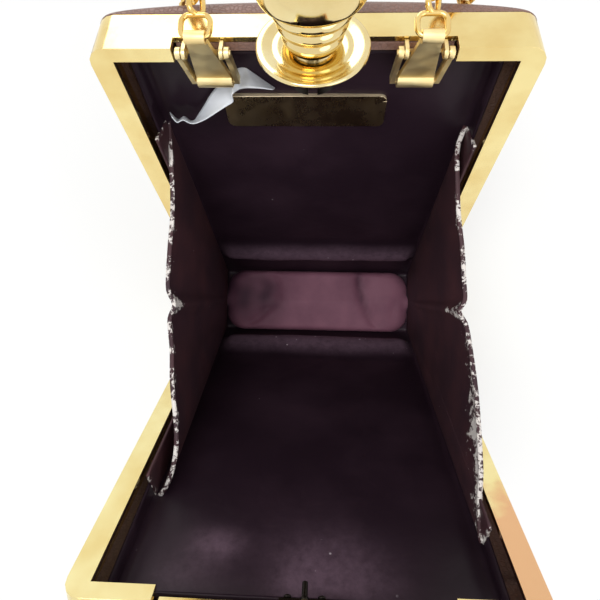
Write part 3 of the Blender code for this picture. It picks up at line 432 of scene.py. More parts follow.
@dataclass(frozen=True)
class CalfLeather(Finish):
    """Calf leather, drum dyed and lightly waxed: soft mottling, fine grain and pores, a low gloss.

    Calf has grain cells about 0.6 mm across. They are drawn 1.2 mm so that they show, with pores
    every 2 mm. Colour drifts slowly over 45 mm, where the hide took the dye unevenly.
    """

    pale: str = "#95756a"
    middle: str = "#8b6a5f"
    dark: str = "#7e5e53"
    roughness: float = 0.34
    grain: float = 1.2
    relief: float = 0.65

    def look(self, add: NodeAdder, place: Socket) -> dict[str, object]:
        """Adds the leather's mottling, grain, pores and wrinkles.

        Args:
            add: adds a node to the material.
            place: the place of a point on the piece.

        Returns:
            What feeds each input of the Principled shader.
        """
        drift = add("TexNoise", {"Vector": place, "Scale": per_mm(45), "Detail": 4.0, "Roughness": 0.5})
        stops = ((0.24, self.dark), (0.78, self.pale), (0.50, self.middle))
        colour = add("ValToRGB", {"Fac": drift}, stops=stops)
        spacing = {"Scale": per_mm(self.grain), "Randomness": 0.9}
        cells = add("TexVoronoi", {"Vector": place, **spacing}, feature="DISTANCE_TO_EDGE")
        valley = add("MapRange", {"Value": cells, "From Max": 0.16})
        pores = add("TexVoronoi", {"Vector": place, "Scale": per_mm(2.1)})
        pit = add("MapRange", {"Value": pores, "From Max": 0.13})
        height = add("Math", {0: valley, 1: pit}, operation="MULTIPLY")
        fine = add("Bump", {"Height": height, "Strength": self.relief, "Distance": 0.14 * MM})
        wrinkle = add("TexNoise", {"Vector": place, "Scale": per_mm(6), "Detail": 5.0, "Distortion": 0.8})
        bump = add("Bump", {"Height": wrinkle, "Strength": 0.12, "Distance": 0.6 * MM, "Normal": fine})
        shade = add("MapRange", {"Value": valley, "To Min": 0.80, "To Max": 1.0})
        tint = add("Mix", {"Factor": 1.0, "A": colour, "B": shade}, data_type="RGBA", blend_type="MULTIPLY")
        ends = {"To Min": self.roughness * 1.25, "To Max": self.roughness * 0.8}
        rough = add("MapRange", {"Value": drift, **ends})
        return {"Base Color": tint, "Roughness": rough, "Normal": bump, "Specular IOR Level": 0.45}


@dataclass(frozen=True)
class LiningLeather(Finish):
    """Thin sheepskin, dyed very dark plum and glazed: a soft gloss over shallow creases.

    The creases lie 5 to 15 mm apart, where the thin skin was laid over card and has loosened, and its
    own grain is 0.5 mm. A little dust gives pale specks and a lighter bloom in places. A mesh
    attribute, whose name begins with bloom, is 1 where the skin is painted paler as painted light: a
    painted sheen on the rolls and painted highlights on a few patches.
    """

    colour: str = "#261922"
    bloom_and_painted_sheen: str = "#35252f"
    painted_sheen: str = "#6a5462"
    lint: str = "#b8adb3"
    roughness: float = 0.36

    def look(self, add: NodeAdder, place: Socket) -> dict[str, object]:
        """Adds the skin's bloom, rubbed glaze, lint, creases and grain.

        Args:
            add: adds a node to the material.
            place: the place of a point on the piece.

        Returns:
            What feeds each input of the Principled shader.
        """
        cloud = add("TexNoise", {"Vector": place, "Scale": per_mm(35), "Detail": 5.0, "Roughness": 0.55})
        colour = add("ValToRGB", {"Fac": cloud}, stops=((0.42, self.colour), (0.72, self.bloom_and_painted_sheen)))
        # Painted light: the rolls get a painted sheen and a few patches a painted highlight, a paler colour
        # broken up by an uneven nap.
        painted_sheen_mask = add("Attribute", attribute_name="bloom_and_painted_sheen").outputs["Fac"]
        nap_and_painted_shade = add("TexNoise", {"Vector": place, "Scale": per_mm(3), "Detail": 6.0, "Roughness": 0.7})
        amount = add("Math", {0: painted_sheen_mask, 1: nap_and_painted_shade}, operation="MULTIPLY")
        painted_sheen = add("Math", {0: amount, 1: 1.8}, operation="MULTIPLY", use_clamp=True)
        colour = add("Mix", {"Factor": painted_sheen, "A": colour, "B": linear(self.painted_sheen)}, data_type="RGBA")
        # Lint lies here and there: most where the painted sheen lies, and on a patch or two elsewhere.
        dots = add("TexVoronoi", {"Vector": place, "Scale": per_mm(6)})
        speck = add("MapRange", {"Value": dots, "From Min": 0.085, "From Max": 0.055})
        here = add("Math", {0: painted_sheen_mask, 1: 0.5, 2: cloud}, operation="MULTIPLY_ADD")
        patches = add("MapRange", {"Value": here, "From Min": 0.62, "From Max": 0.68})
        speck = add("Math", {0: speck, 1: patches}, operation="MULTIPLY")
        tint = add("Mix", {"Factor": speck, "A": colour, "B": linear(self.lint)}, data_type="RGBA")
        grain = add("TexVoronoi", {"Vector": place, "Scale": per_mm(0.5)}, feature="DISTANCE_TO_EDGE")
        fine = add("Bump", {"Height": grain, "Strength": 0.12, "Distance": 0.05 * MM})
        crease = add("TexNoise", {"Vector": place, "Scale": per_mm(12), "Detail": 6.0, "Distortion": 1.2})
        bump = add("Bump", {"Height": crease, "Strength": 0.22, "Distance": 0.8 * MM, "Normal": fine})
        ends = {"To Min": self.roughness * 0.8, "To Max": self.roughness * 1.3}
        rough = add("MapRange", {"Value": cloud, **ends})
        return {"Base Color": tint, "Roughness": rough, "Normal": bump, "Specular IOR Level": 0.2}


@dataclass(frozen=True)
class FlakingLeather(Finish):
    """Coated leather, dyed brown plum, whose film has cracked off along its cut edge.

    A mesh attribute named wear is 1 at the edge and 0 inside. Where it is high, flakes 0.4 to 1.5 mm
    across are gone, and the pale, chalky base cloth shows, rougher than the film round it.
    """

    film: str = "#3a252c"
    warm: str = "#4e2f33"
    base: str = "#ece5df"

    def look(self, add: NodeAdder, place: Socket) -> dict[str, object]:
        """Adds the film, its flakes and its soft folds.

        Args:
            add: adds a node to the material.
            place: the place of a point on the piece.

        Returns:
            What feeds each input of the Principled shader.
        """
        wear = add("Attribute", attribute_name="wear").outputs["Fac"]
        drift = add("TexNoise", {"Vector": place, "Scale": per_mm(18), "Detail": 5.0})
        film = add("ValToRGB", {"Fac": drift}, stops=((0.38, self.film), (0.66, self.warm)))
        ragged = {"Detail": 4.0, "Roughness": 0.7, "Distortion": 0.3}
        chips = add("TexNoise", {"Vector": place, "Scale": per_mm(1.5), **ragged})
        broad = add("TexNoise", {"Vector": place, "Scale": per_mm(7), "Detail": 2.0})
        # The film goes where small chips, broad patches and the wear add up to enough.
        fine = add("Math", {0: chips, 1: 2.2, 2: -1.1}, operation="MULTIPLY_ADD")
        both = add("Math", {0: broad, 1: 1.6, 2: fine}, operation="MULTIPLY_ADD")
        worn = add("Math", {0: wear, 1: 0.80, 2: both}, operation="MULTIPLY_ADD")
        gone = add("MapRange", {"Value": worn, "From Min": 1.46, "From Max": 1.60})
        tint = add("Mix", {"Factor": gone, "A": film, "B": linear(self.base)}, data_type="RGBA")
        rough = add("MapRange", {"Value": gone, "To Min": 0.56, "To Max": 0.9})
        fold = add("TexNoise", {"Vector": place, "Scale": per_mm(9), "Detail": 5.0, "Distortion": 1.0})
        soft = add("Bump", {"Height": fold, "Strength": 0.2, "Distance": 0.6 * MM})
        step = {"Height": gone, "Strength": 0.35, "Distance": 0.1 * MM}
        bump = add("Bump", {**step, "Normal": soft}, invert=True)
        return {"Base Color": tint, "Roughness": rough, "Normal": bump, "Specular IOR Level": 0.35}


@dataclass(frozen=True)
class WovenSatin(Finish):
    """Satin, woven with long floats: a soft sheen along one way, over fine ribs.

    Satin has 40 to 60 threads a centimetre; its ribs are drawn 0.5 mm apart, twice as coarse, so that
    they show. Soft dents 12 mm across give it the look of cloth over wadding. A mesh attribute, whose
    name begins with nap, is 1 where the cloth is painted a darker colour as painted shade.
    """

    colour: str
    shade: str
    painted_shade_colour: str = "#4a2e3d"
    sheen: float = 0.2
    pitch: float = 0.5

    def look(self, add: NodeAdder, place: Socket) -> dict[str, object]:
        """Adds the satin's drift of colour, painted shade, weave and dents.

        Args:
            add: adds a node to the material.
            place: the place of a point on the piece.

        Returns:
            What feeds each input of the Principled shader.
        """
        cloud = add("TexNoise", {"Vector": place, "Scale": per_mm(16), "Detail": 4.0})
        colour = add("ValToRGB", {"Fac": cloud}, stops=((0.35, self.shade), (0.65, self.colour)))
        # A wave texture draws twenty times as many bands as its scale says.
        thread = {"Vector": place, "Scale": per_mm(self.pitch) / 20, "Distortion": 1.5, "Detail": 2.0}
        ribs = add("TexWave", thread, bands_direction="X").outputs["Fac"]
        weft = add("TexWave", thread, bands_direction="Y").outputs["Fac"]
        weave = add("Math", {0: ribs, 1: weft}, operation="ADD")
        fine = add("Bump", {"Height": weave, "Strength": 0.15, "Distance": 0.05 * MM})
        dents = add("TexNoise", {"Vector": place, "Scale": per_mm(12), "Detail": 3.0})
        bump = add("Bump", {"Height": dents, "Strength": 0.18, "Distance": 0.8 * MM, "Normal": fine})
        # Painted shade: the cloth gets a darker colour where the mesh attribute says.
        nap_and_painted_shade = add("Attribute", attribute_name="nap_and_painted_shade").outputs["Fac"]
        tint = add("Mix", {"Factor": nap_and_painted_shade, "A": colour, "B": linear(self.painted_shade_colour)}, data_type="RGBA")
        glow = {"Sheen Weight": self.sheen, "Sheen Roughness": 0.4, "Sheen Tint": linear(self.colour)}
        return {"Base Color": tint, "Roughness": 0.5, "Normal": bump, "Specular IOR Level": 0.12, **glow}


@dataclass(frozen=True)
class Finishes:
    """Every finish of the bag, made once."""

    rim: Material = field(default_factory=PolishedPlate("gold_plated_brass_polished").make)
    # The front rim's plate carries a painted reflection: a warm copper colour at the foot of one arm.
    front_rim: Material = field(
        default_factory=PolishedPlate("gold_plated_brass_rubbed", "#f6e9ae", "#ebd592", reflection_colour="#e6b587").make
    )
    knob: Material = field(
        default_factory=PolishedPlate("gold_plated_brass_turned", "#f0e0ac", "#e4cb8e", 0.06, 0.05).make
    )
    chain: Material = field(
        default_factory=PolishedPlate("gold_plated_brass_wire", "#f5d88f", "#e6bd70", 0.12, 0.2).make
    )
    cast: Material = field(
        default_factory=PolishedPlate("gold_plated_brass_cast", "#fdeab4", "#f6d896", 0.38, 0.9).make
    )
    # The stamped plate's top edge carries a painted highlight in a paler colour.
    plate: Material = field(
        default_factory=PolishedPlate(
            "gold_plated_brass_stamped", "#d3bd94", "#b89d74", 0.2, 0.12, top_edge_highlight="#fff0d2"
        ).make
    )
    steel: Material = field(default_factory=NickelledSteel("nickelled_steel").make)
    # A near-black copy of the nickelled steel: painted shade on the latch pieces under the disc, so that they
    # read as the shade there.
    steel_in_painted_shade: Material = field(default_factory=NickelledSteel("steel_painted_shade", "#2a2623").make)
    leather: Material = field(default_factory=CalfLeather("calf_leather_mauve_brown").make)
    lining: Material = field(default_factory=LiningLeather("glazed_sheepskin_dark_plum").make)
    gusset: Material = field(default_factory=FlakingLeather("brown_plum_coated_leather").make)
    satin: Material = field(default_factory=WovenSatin("satin_mauve", "#8d5f70", "#7b5061").make)
    ribbon: Material = field(
        default_factory=WovenSatin("satin_ribbon_white", "#eef1f6", "#dfe5ee", sheen=0.25, pitch=0.4).make
    )


def add_object(name: str, data: bpy.types.ID) -> Piece:
    """Puts a new object in the scene.

    Args:
        name: the object's name.
        data: its mesh, curve, lamp or camera.

    Returns:
        The new object.
    """
    item = bpy.data.objects.new(name, data)
    bpy.context.scene.collection.objects.link(item)
    return item


def mesh_object(
    name: str, verts: Sequence[Vector], faces: Sequence[Sequence[int]], material: Material
) -> Piece:
    """A smooth-shaded mesh piece in the scene.

    Args:
        name: the piece's name.
        verts: its points.
        faces: its faces, as numbers of points.
        material: its finish.

    Returns:
        The new object.
    """
    mesh = bpy.data.meshes.new(name)
    mesh.from_pydata([tuple(v) for v in verts], [], faces)
    mesh.materials.append(material)
    mesh.shade_smooth()
    return add_object(name, mesh)


def paint(item: Piece, name: str, values: Sequence[float]) -> None:
    """Stores a value at each point of a piece, for its finish to read."""
    item.data.attributes.new(name, "FLOAT", "POINT").data.foreach_set("value", values)


def face_outward(item: Piece, weld: float = 0.01 * MM) -> None:
    """Welds a piece's seams and turns its faces outward.

    Args:
        item: the piece.
        weld: how near two points are to become one.
    """
    cage = bmesh.new()
    cage.from_mesh(item.data)
    bmesh.ops.remove_doubles(cage, verts=cage.verts, dist=weld)
    bmesh.ops.recalc_face_normals(cage, faces=cage.faces)
    cage.to_mesh(item.data)
    cage.free()
    item.data.shade_smooth()


def grid_faces(
    rows: int, columns: int, close_rows: bool = False, close_columns: bool = False, start: int = 0
) -> list[tuple[int, ...]]:
    """The quads of a grid of points.

    Args:
        rows: how many rows it has.
        columns: how many points each row has.
        close_rows: whether the last row joins the first.
        close_columns: whether each row closes on itself.
        start: the number of its first point.

    Returns:
        The faces, as numbers of points.
    """
    faces = []
    for i in range(rows if close_rows else rows - 1):
        for k in range(columns if close_columns else columns - 1):
            j, m = (i + 1) % rows, (k + 1) % columns
            corners = (i * columns + k, i * columns + m, j * columns + m, j * columns + k)
            faces.append(tuple(start + corner for corner in corners))
    return faces


def add_modifier(item: Piece, kind: str, **settings: object) -> None:
    """Adds a modifier.

    Args:
        item: the piece.
        kind: the modifier's type.
        settings: its own settings.
    """
    modifier = item.modifiers.new(kind.lower(), kind)
    for name, value in settings.items():
        setattr(modifier, name, value)


def applied(item: Piece) -> Piece:
    """Turns a piece's modifiers into a plain mesh in place.

    Args:
        item: the piece.

    Returns:
        The same piece.
    """
    bpy.context.view_layer.update()
    graph = bpy.context.evaluated_depsgraph_get()
    shape = item.evaluated_get(graph)
    mesh = bpy.data.meshes.new_from_object(shape, preserve_all_data_layers=True, depsgraph=graph)
    item.modifiers.clear()
    item.data = mesh
    return item


def stand_in(item: Piece, node: str | None, body: str | None = None) -> Piece:
    """Hides the solid that a piece stands for, and hangs the piece on the body that it rides on.

    Args:
        item: the piece.
        node: the solid that it replaces, where there is one.
        body: the body that it rides on, where it doesn't bend between two.

    Returns:
        The same piece.
    """
    if node:
        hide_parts(node)
    if body:
        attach(item, body)
    return item


@dataclass
class PhotoCamera:
    """The camera that saw the bag, fitted to the corners of its mouth and rims."""

    lens: float = 30.0
    sensor: float = 36.0
    shift: float = -0.076
    place: Place = (3.19 * MM, 5.31 * MM, 268.807 * MM)
    turns: Place = (-3.73, -2.70, -0.86)

    def make(self) -> None:
        """Adds the camera and makes it the scene's."""
        data = bpy.data.cameras.new("photo_camera")
        data.lens, data.sensor_width, data.shift_y = self.lens, self.sensor, self.shift
        data.clip_start, data.clip_end = 0.01, 20.0
        rx, ry, rz = (math.radians(turn) for turn in self.turns)
        to_camera = Matrix.Rotation(rz, 3, "Z") @ Matrix.Rotation(ry, 3, "Y") @ Matrix.Rotation(rx, 3, "X")
        item = add_object("photo_camera", data)
        item.matrix_world = Matrix.Translation(self.place) @ to_camera.transposed().to_4x4()
        bpy.context.scene.camera = item


@dataclass
class Studio:
    """A pale floor, a white surround and soft lamps, each with its place, its width and its power in watts."""

    floor_colour: str = "#f4f4f2"
    floor_size: float = 16.0
    aim: Place = (0.0, 0.0, 0.08)
    lamps: tuple[tuple[str, Place, float, float], ...] = (
        ("key", (-0.30, -0.12, 1.6), 0.8, 9.0),
        ("fill", (1.1, -0.9, 0.9), 1.1, 4.5),
        ("back", (-0.34, 1.25, 0.46), 0.6, 2.4),
    )

    def make(self) -> None:
        """Adds the floor, the world and the lamps."""
        self.make_floor()
        self.make_world()
        for name, place, size, power in self.lamps:
            data = bpy.data.lights.new(name, "AREA")
            data.shape, data.size, data.energy = "DISK", size, power
            lamp = add_object(name, data)
            lamp.location = place
            lamp.rotation_euler = (Vector(self.aim) - Vector(place)).to_track_quat("-Z", "Y").to_euler()

    def make_floor(self) -> None:
        """Adds a wide, plain, matt floor, which glows to the white of the surround where the lamps fade."""
        material = bpy.data.materials.new("studio_floor_paint")
        tree = cleared(material)
        paint_coat = {"Base Color": linear(self.floor_colour), "Roughness": 0.85}
        shader = add_node(tree, "BsdfPrincipled", paint_coat)
        glow = add_node(tree, "Emission", {"Color": WHITE, "Strength": 1.0})
        place = add_node(tree, "TexCoord").outputs["Object"]
        away = add_node(tree, "VectorMath", {0: place}, operation="LENGTH")
        reach = {"From Min": 0.3, "From Max": 1.6, "To Min": 0.30, "To Max": 1.0}
        share = add_node(tree, "MapRange", {"Value": away, **reach})
        seen = add_node(tree, "Math", {0: seen_directly(tree), 1: share}, operation="MULTIPLY")
        mixed = add_node(tree, "MixShader", {0: seen, 1: shader, 2: glow})
        add_node(tree, "OutputMaterial", {"Surface": mixed})
        half = self.floor_size / 2
        corners = [Vector((x * half, y * half, -0.1 * MM)) for x, y in ((-1, -1), (1, -1), (1, 1), (-1, 1))]
        mesh_object("studio_floor", corners, [(0, 1, 2, 3)], material)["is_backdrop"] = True

    def make_world(self) -> None:
        """Adds a surround that is white to the camera and in metal, and a soft grey for the light itself."""
        world = bpy.data.worlds.new("studio_world")
        bpy.context.scene.world = world
        tree = cleared(world)
        way = add_node(tree, "TexCoord").outputs["Generated"]
        up = add_node(tree, "SeparateXYZ", {"Vector": way}).outputs["Z"]
        reach = {"From Min": -0.1, "From Max": 0.85, "To Min": 0.45, "To Max": 0.95}
        sky = add_node(tree, "MapRange", {"Value": up, **reach})
        soft = add_node(tree, "Background", {"Color": linear("#f2f3f5"), "Strength": sky})
        white = add_node(tree, "Background", {"Color": WHITE, "Strength": 1.0})
        mixed = add_node(tree, "MixShader", {0: seen_directly(tree), 1: soft, 2: white})
        add_node(tree, "OutputWorld", {"Surface": mixed})


@dataclass
class Pieces:
    """Pieces of the bag that are built together, in the finishes that all of them share."""

    finishes: Finishes

    def make(self) -> Iterator[Piece]:
        """Builds each piece, and yields it."""
        raise NotImplementedError


@dataclass
class ShoulderChain(Pieces):
    """The shoulder chain: oval cable links, each turned a quarter from the last, in three laid stretches.

    The routes are those of the solids, in millimetres. Each link is 6.6 mm long and 5 mm wide, of
    1.44 mm wire.
    """

    width: float = 5.0 * MM
    link: float = 6.6 * MM
    wire: float = 0.72 * MM
    wires_shared: float = 4.1
    wobble: float = 7.0
    link_steps: int = 20
    wire_steps: int = 8
    route_steps: int = 12
    coil_middle: float = 27.5 * MM
    coil_turns: float = 4.5
    coil_step: float = 5.6 * MM
    coil_steps: int = 24
    coil_y: float = 108.0 * MM
    give: Place = (0.0, 11.0, -9.0)
    right_route: tuple[Place, ...] = (
        (26.6, 67.6, 160.1), (26.9, 70.0, 160.0), (29.2, 74.7, 158.3), (33.1, 78.4, 153.9), (37.3, 80.1, 147.2),
        (39.9, 80.3, 139.5), (41.2, 80.3, 128.0), (41.3, 80.2, 112.0), (40.5, 80.1, 93.0), (39.1, 80.1, 73.0),
        (37.4, 80.1, 53.0), (35.6, 80.7, 34.0), (34.3, 82.7, 17.0), (33.8, 88.4, 6.2), (33.8, 97.4, 2.5),
        (33.8, 102.7, 2.5),
    )
    left_route: tuple[Place, ...] = (
        (-26.6, 67.6, 160.1), (-26.8, 70.0, 160.0), (-28.3, 74.8, 158.2), (-30.9, 78.5, 153.7),
        (-33.3, 80.2, 147.0), (-34.8, 80.5, 139.0), (-35.8, 80.5, 127.0), (-36.2, 80.4, 111.0),
        (-36.0, 80.3, 92.0), (-35.4, 80.3, 73.0), (-34.7, 80.4, 55.0), (-34.1, 81.0, 37.0),
        (-33.8, 83.2, 22.0), (-33.8, 88.8, 11.6), (-33.8, 97.4, 8.1), (-33.8, 102.7, 8.1),
    )

    def line_through(self, route: Sequence[Place]) -> list[Vector]:
        """A smooth line through a route's points, straight at both its ends.

        Args:
            route: the points, in millimetres.

        Returns:
            The line's points, in metres.
        """
        points = [Vector(point) * MM for point in route]
        inner = points[1:-1]
        spans = [(q - p).length for p, q in zip(inner, inner[1:])]
        slopes = [(q - p) / span for p, q, span in zip(inner, inner[1:], spans)]
        bends = [slopes[0]]
        for before, after, span, following in zip(slopes, slopes[1:], spans, spans[1:]):
            bends.append((before * following + after * span) / (span + following))
        bends.append(slopes[-1])
        line = [points[0]]
        for i, span in enumerate(spans):
            for t in (step / self.route_steps for step in range(self.route_steps)):
                curve = inner[i] * (1 - smooth(t)) + inner[i + 1] * smooth(t)
                out, back = span * t * (1 - t) ** 2, span * t * t * (1 - t)
                line.append(curve + bends[i] * out - bends[i + 1] * back)
        return line + points[-2:]

    def coil_line(self) -> list[Vector]:
        """The coil behind the bag: in for half its turns on the floor, then up a layer and out again.

        Returns:
            The line's points, with a straight end at both its ends.
        """
        outer = self.coil_middle + self.coil_step * self.coil_turns / 4
        line = []
        for i in range(round(self.coil_turns * self.coil_steps) + 1):
            turns = i / self.coil_steps
            radius = outer - self.coil_step * min(turns, self.coil_turns - turns)
            rise = smooth((turns - self.coil_turns / 2 + 0.25) / 0.5)
            angle = 2 * math.pi * turns
            across = (radius * math.cos(angle), self.coil_y + radius * math.sin(angle))
            line.append(Vector((*across, self.width / 2 + self.coil_step * rise)))
        straight = Vector((0.0, self.width, 0.0))
        return [line[0] - straight, *line, line[-1] - straight]

    def link_points(self) -> list[Vector]:
        """One link: a round wire on an oval line with straight sides, lying in the plane of X and Z.

        Returns:
            The points of its rings, one ring of the wire after another.
        """
        rounded = self.width / 2 - self.wire
        line = []
        for i in range(self.link_steps):
            angle = 2 * math.pi * i / self.link_steps
            z = rounded * math.sin(angle)
            straight = math.copysign((self.link - self.width) / 2, z) if abs(z) > 1e-9 else 0.0
            line.append(Vector((rounded * math.cos(angle), 0.0, z + straight if straight else 0.0)))
        side = Vector((0.0, 1.0, 0.0))
        points = []
        for i, point in enumerate(line):
            out = (line[(i + 1) % self.link_steps] - line[i - 1]).normalized().cross(side).normalized()
            for k in range(self.wire_steps):
                a = 2 * math.pi * k / self.wire_steps
                points.append(point + (out * math.cos(a) + side * math.sin(a)) * self.wire)
        return points

    def stretch(self, name: str, line: Sequence[Vector]) -> Piece:
        """A stretch of links along a line, as one piece.

        Args:
            name: the piece's name.
            line: the stretch's centreline.

        Returns:
            The new object.
        """
        # A link's wire lies inside the next link's bow, so a step is two whole wires and some slack short.
        pitch = self.link - self.wires_shared * self.wire
        shape = self.link_points()
        verts, faces = [], []
        side = Vector((1.0, 0.0, 0.0))
        places = places_along(line, round(length_of(line) / pitch), 0.5)
        for count, (middle, along) in enumerate(places):
            side = (side - along * side.dot(along)).normalized()
            turn = math.radians(45 + 90 * (count % 2) + self.wobble * waver(*(middle * 90)))
            across = side * math.cos(turn) + along.cross(side) * math.sin(turn)
            place = Matrix((across, along.cross(across), along)).transposed()
            faces += grid_faces(self.link_steps, self.wire_steps, True, True, len(verts))
            verts += [middle + place @ point for point in shape]
        item = mesh_object(name, verts, faces, self.finishes.chain)
        face_outward(item, 0.0)
        return item

    def make(self) -> Iterator[Piece]:
        routes = {"right": self.line_through(self.right_route), "coil": self.coil_line()}
        routes["left"] = self.line_through(self.left_route)
        for word, line in routes.items():
            coiled = word == "coil"
            item = self.stretch("chain_links_" + word, line)
            tuple(line[0])
            length_of(line)
            [tuple(p) for p in line]
            stand_in(item, "chain_" + word, "back_half" if coiled else None)
            if not coiled:
                end = tuple(line[0] + Vector(self.give) * MM)
                tuple(line[0])
                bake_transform(item)
            yield item


@dataclass
class KeptSolids(Pieces):
    """The solids whose shape is right, by finish: they keep their shape and get worn edges and the finish."""

    edge: float = 0.22 * MM
    plate_edge: float = 0.75 * MM
    bend: float = math.radians(32)
    groups: tuple[tuple[str, tuple[str, ...]], ...] = (
        ("rim", ("back_frame", "back_hinge_leaf", "front_hinge_leaf", "knob_bracket")),
        ("front_rim", ("front_frame", "front_rim_strip")),
        ("cast", ("left_lug", "right_lug", "left_lug_pin_left", "left_lug_pin_right", "right_lug_pin_left")),
        ("cast", ("right_lug_pin_right", "left_bail", "right_bail", "left_hanger", "right_hanger")),
        ("plate", ("lining_plate",)),
        ("steel", ("hinge_pin", "bracket_screw_left", "bracket_screw_right", "knob_spindle")),
        # The latch pieces under the disc get the near-black copy of the steel as painted shade.
        ("steel_in_painted_shade", ("keeper_screw_left", "keeper_screw_right", "latch_keeper", "latch_cam", "cam_nut")),
        ("leather", ("back_rim_strip",)),
    )

    def make(self) -> Iterator[Piece]:
        """Dresses the solids that stay, and yields each."""
        for finish, nodes in self.groups:
            for node in nodes:
                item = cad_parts[node]
                item.data.materials.clear()
                item.data.materials.append(getattr(self.finishes, finish))
                low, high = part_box(node)
                edge = self.plate_edge if finish == "plate" else min(self.edge, min(high - low) / 6)
                round_off = {"limit_method": "ANGLE", "angle_limit": self.bend, "use_clamp_overlap": True}
                add_modifier(item, "WELD", merge_threshold=0.01 * MM)
                add_modifier(item, "BEVEL", width=edge, segments=3, **round_off)
                add_modifier(item, "WEIGHTED_NORMAL", keep_sharp=False)
                yield item


@dataclass
class LeatherPanels(Pieces):
    """The two outer panels: leather drawn over padding, crowned across, with soft edges at the frame."""

    rise_top: float = 5.9 * MM
    rise_bottom: float = 5.0 * MM
    belly: float = 1.0 * MM
    end_roll: float = 2.5 * MM
    edge_share: float = 0.42
    ripple: float = 0.14 * MM
    calm_edge: float = 8.0 * MM
    columns: int = 72
    rows: int = 96

    def lift(self, x: float, height: float) -> float:
        """How far the leather stands out from the frame's back edge.

        Args:
            x: across the panel, as if it were full width there.
            height: up the half, from the hinge axis.

        Returns:
            The height of the crown there.
        """
        share = SIZES.share(height)
        rise = self.rise_bottom + (self.rise_top - self.rise_bottom) * share
        rise += self.belly * math.sin(math.pi * share)
        arch = rise * (1 - min(1.0, abs(x) / SIZES.half_width) ** 2.3) ** 0.52
        end = min(height - SIZES.bottom, SIZES.height - height)
        roll = quarter_round(end / self.end_roll)
        return arch * (self.edge_share + (1 - self.edge_share) * roll) if end > 0 else 0.0

    def shell(self, half: Half) -> Piece:
        """The leather of one panel, without its back.

        Args:
            half: the half that carries it.

        Returns:
            The new object.
        """
        verts = []
        low, high = SIZES.bottom, SIZES.height
        for angle in spread(-math.pi / 2, math.pi / 2, self.rows):
            height = (low + high) / 2 + (high - low) / 2 * math.sin(angle)
            end = min(height - low, high - height)
            wide = SIZES.half_width - SIZES.corner * (1 - quarter_round(end / SIZES.corner))
            seat = SIZES.back_depth(height) + SIZES.gap
            for turn in spread(-math.pi / 2, math.pi / 2, self.columns):
                x = wide * math.sin(turn)
                ripple = self.ripple * waver(x * 60, height * 45, half.value * 3.0)
                ripple *= smooth((wide - abs(x)) / self.calm_edge) * smooth(end / self.calm_edge)
                depth = seat + self.lift(x * SIZES.half_width / wide, height) + ripple
                verts.append(SIZES.place(half, x, depth, height))
        faces = grid_faces(self.rows + 1, self.columns + 1)
        return mesh_object(half.word + "_leather", verts, faces, self.finishes.leather)

    def close_back(self, item: Piece, half: Half) -> None:
        """Turns the leather's edge in to the panel's seat and closes its flat back.

        Args:
            item: the leather.
            half: the half that carries it.
        """
        cage = bmesh.new()
        cage.from_mesh(item.data)
        bmesh.ops.remove_doubles(cage, verts=cage.verts, dist=0.02 * MM)
        rim = [edge for edge in cage.edges if edge.is_boundary]
        for part in bmesh.ops.extrude_edge_only(cage, edges=rim)["geom"]:
            if isinstance(part, bmesh.types.BMVert):
                height = SIZES.within(half, part.co)[1]
                part.co = SIZES.place(half, part.co.x, SIZES.back_depth(height) + SIZES.gap, height)
        bmesh.ops.holes_fill(cage, edges=[edge for edge in cage.edges if edge.is_boundary], sides=0)
        bmesh.ops.recalc_face_normals(cage, faces=cage.faces)
        cage.to_mesh(item.data)
        cage.free()

    def make(self) -> Iterator[Piece]:
        """Builds both panels, puts them in place of their solids and yields each."""
        for half in Half:
            item = self.shell(half)
            self.close_back(item, half)
            yield stand_in(item, half.word + "_panel", half.body)


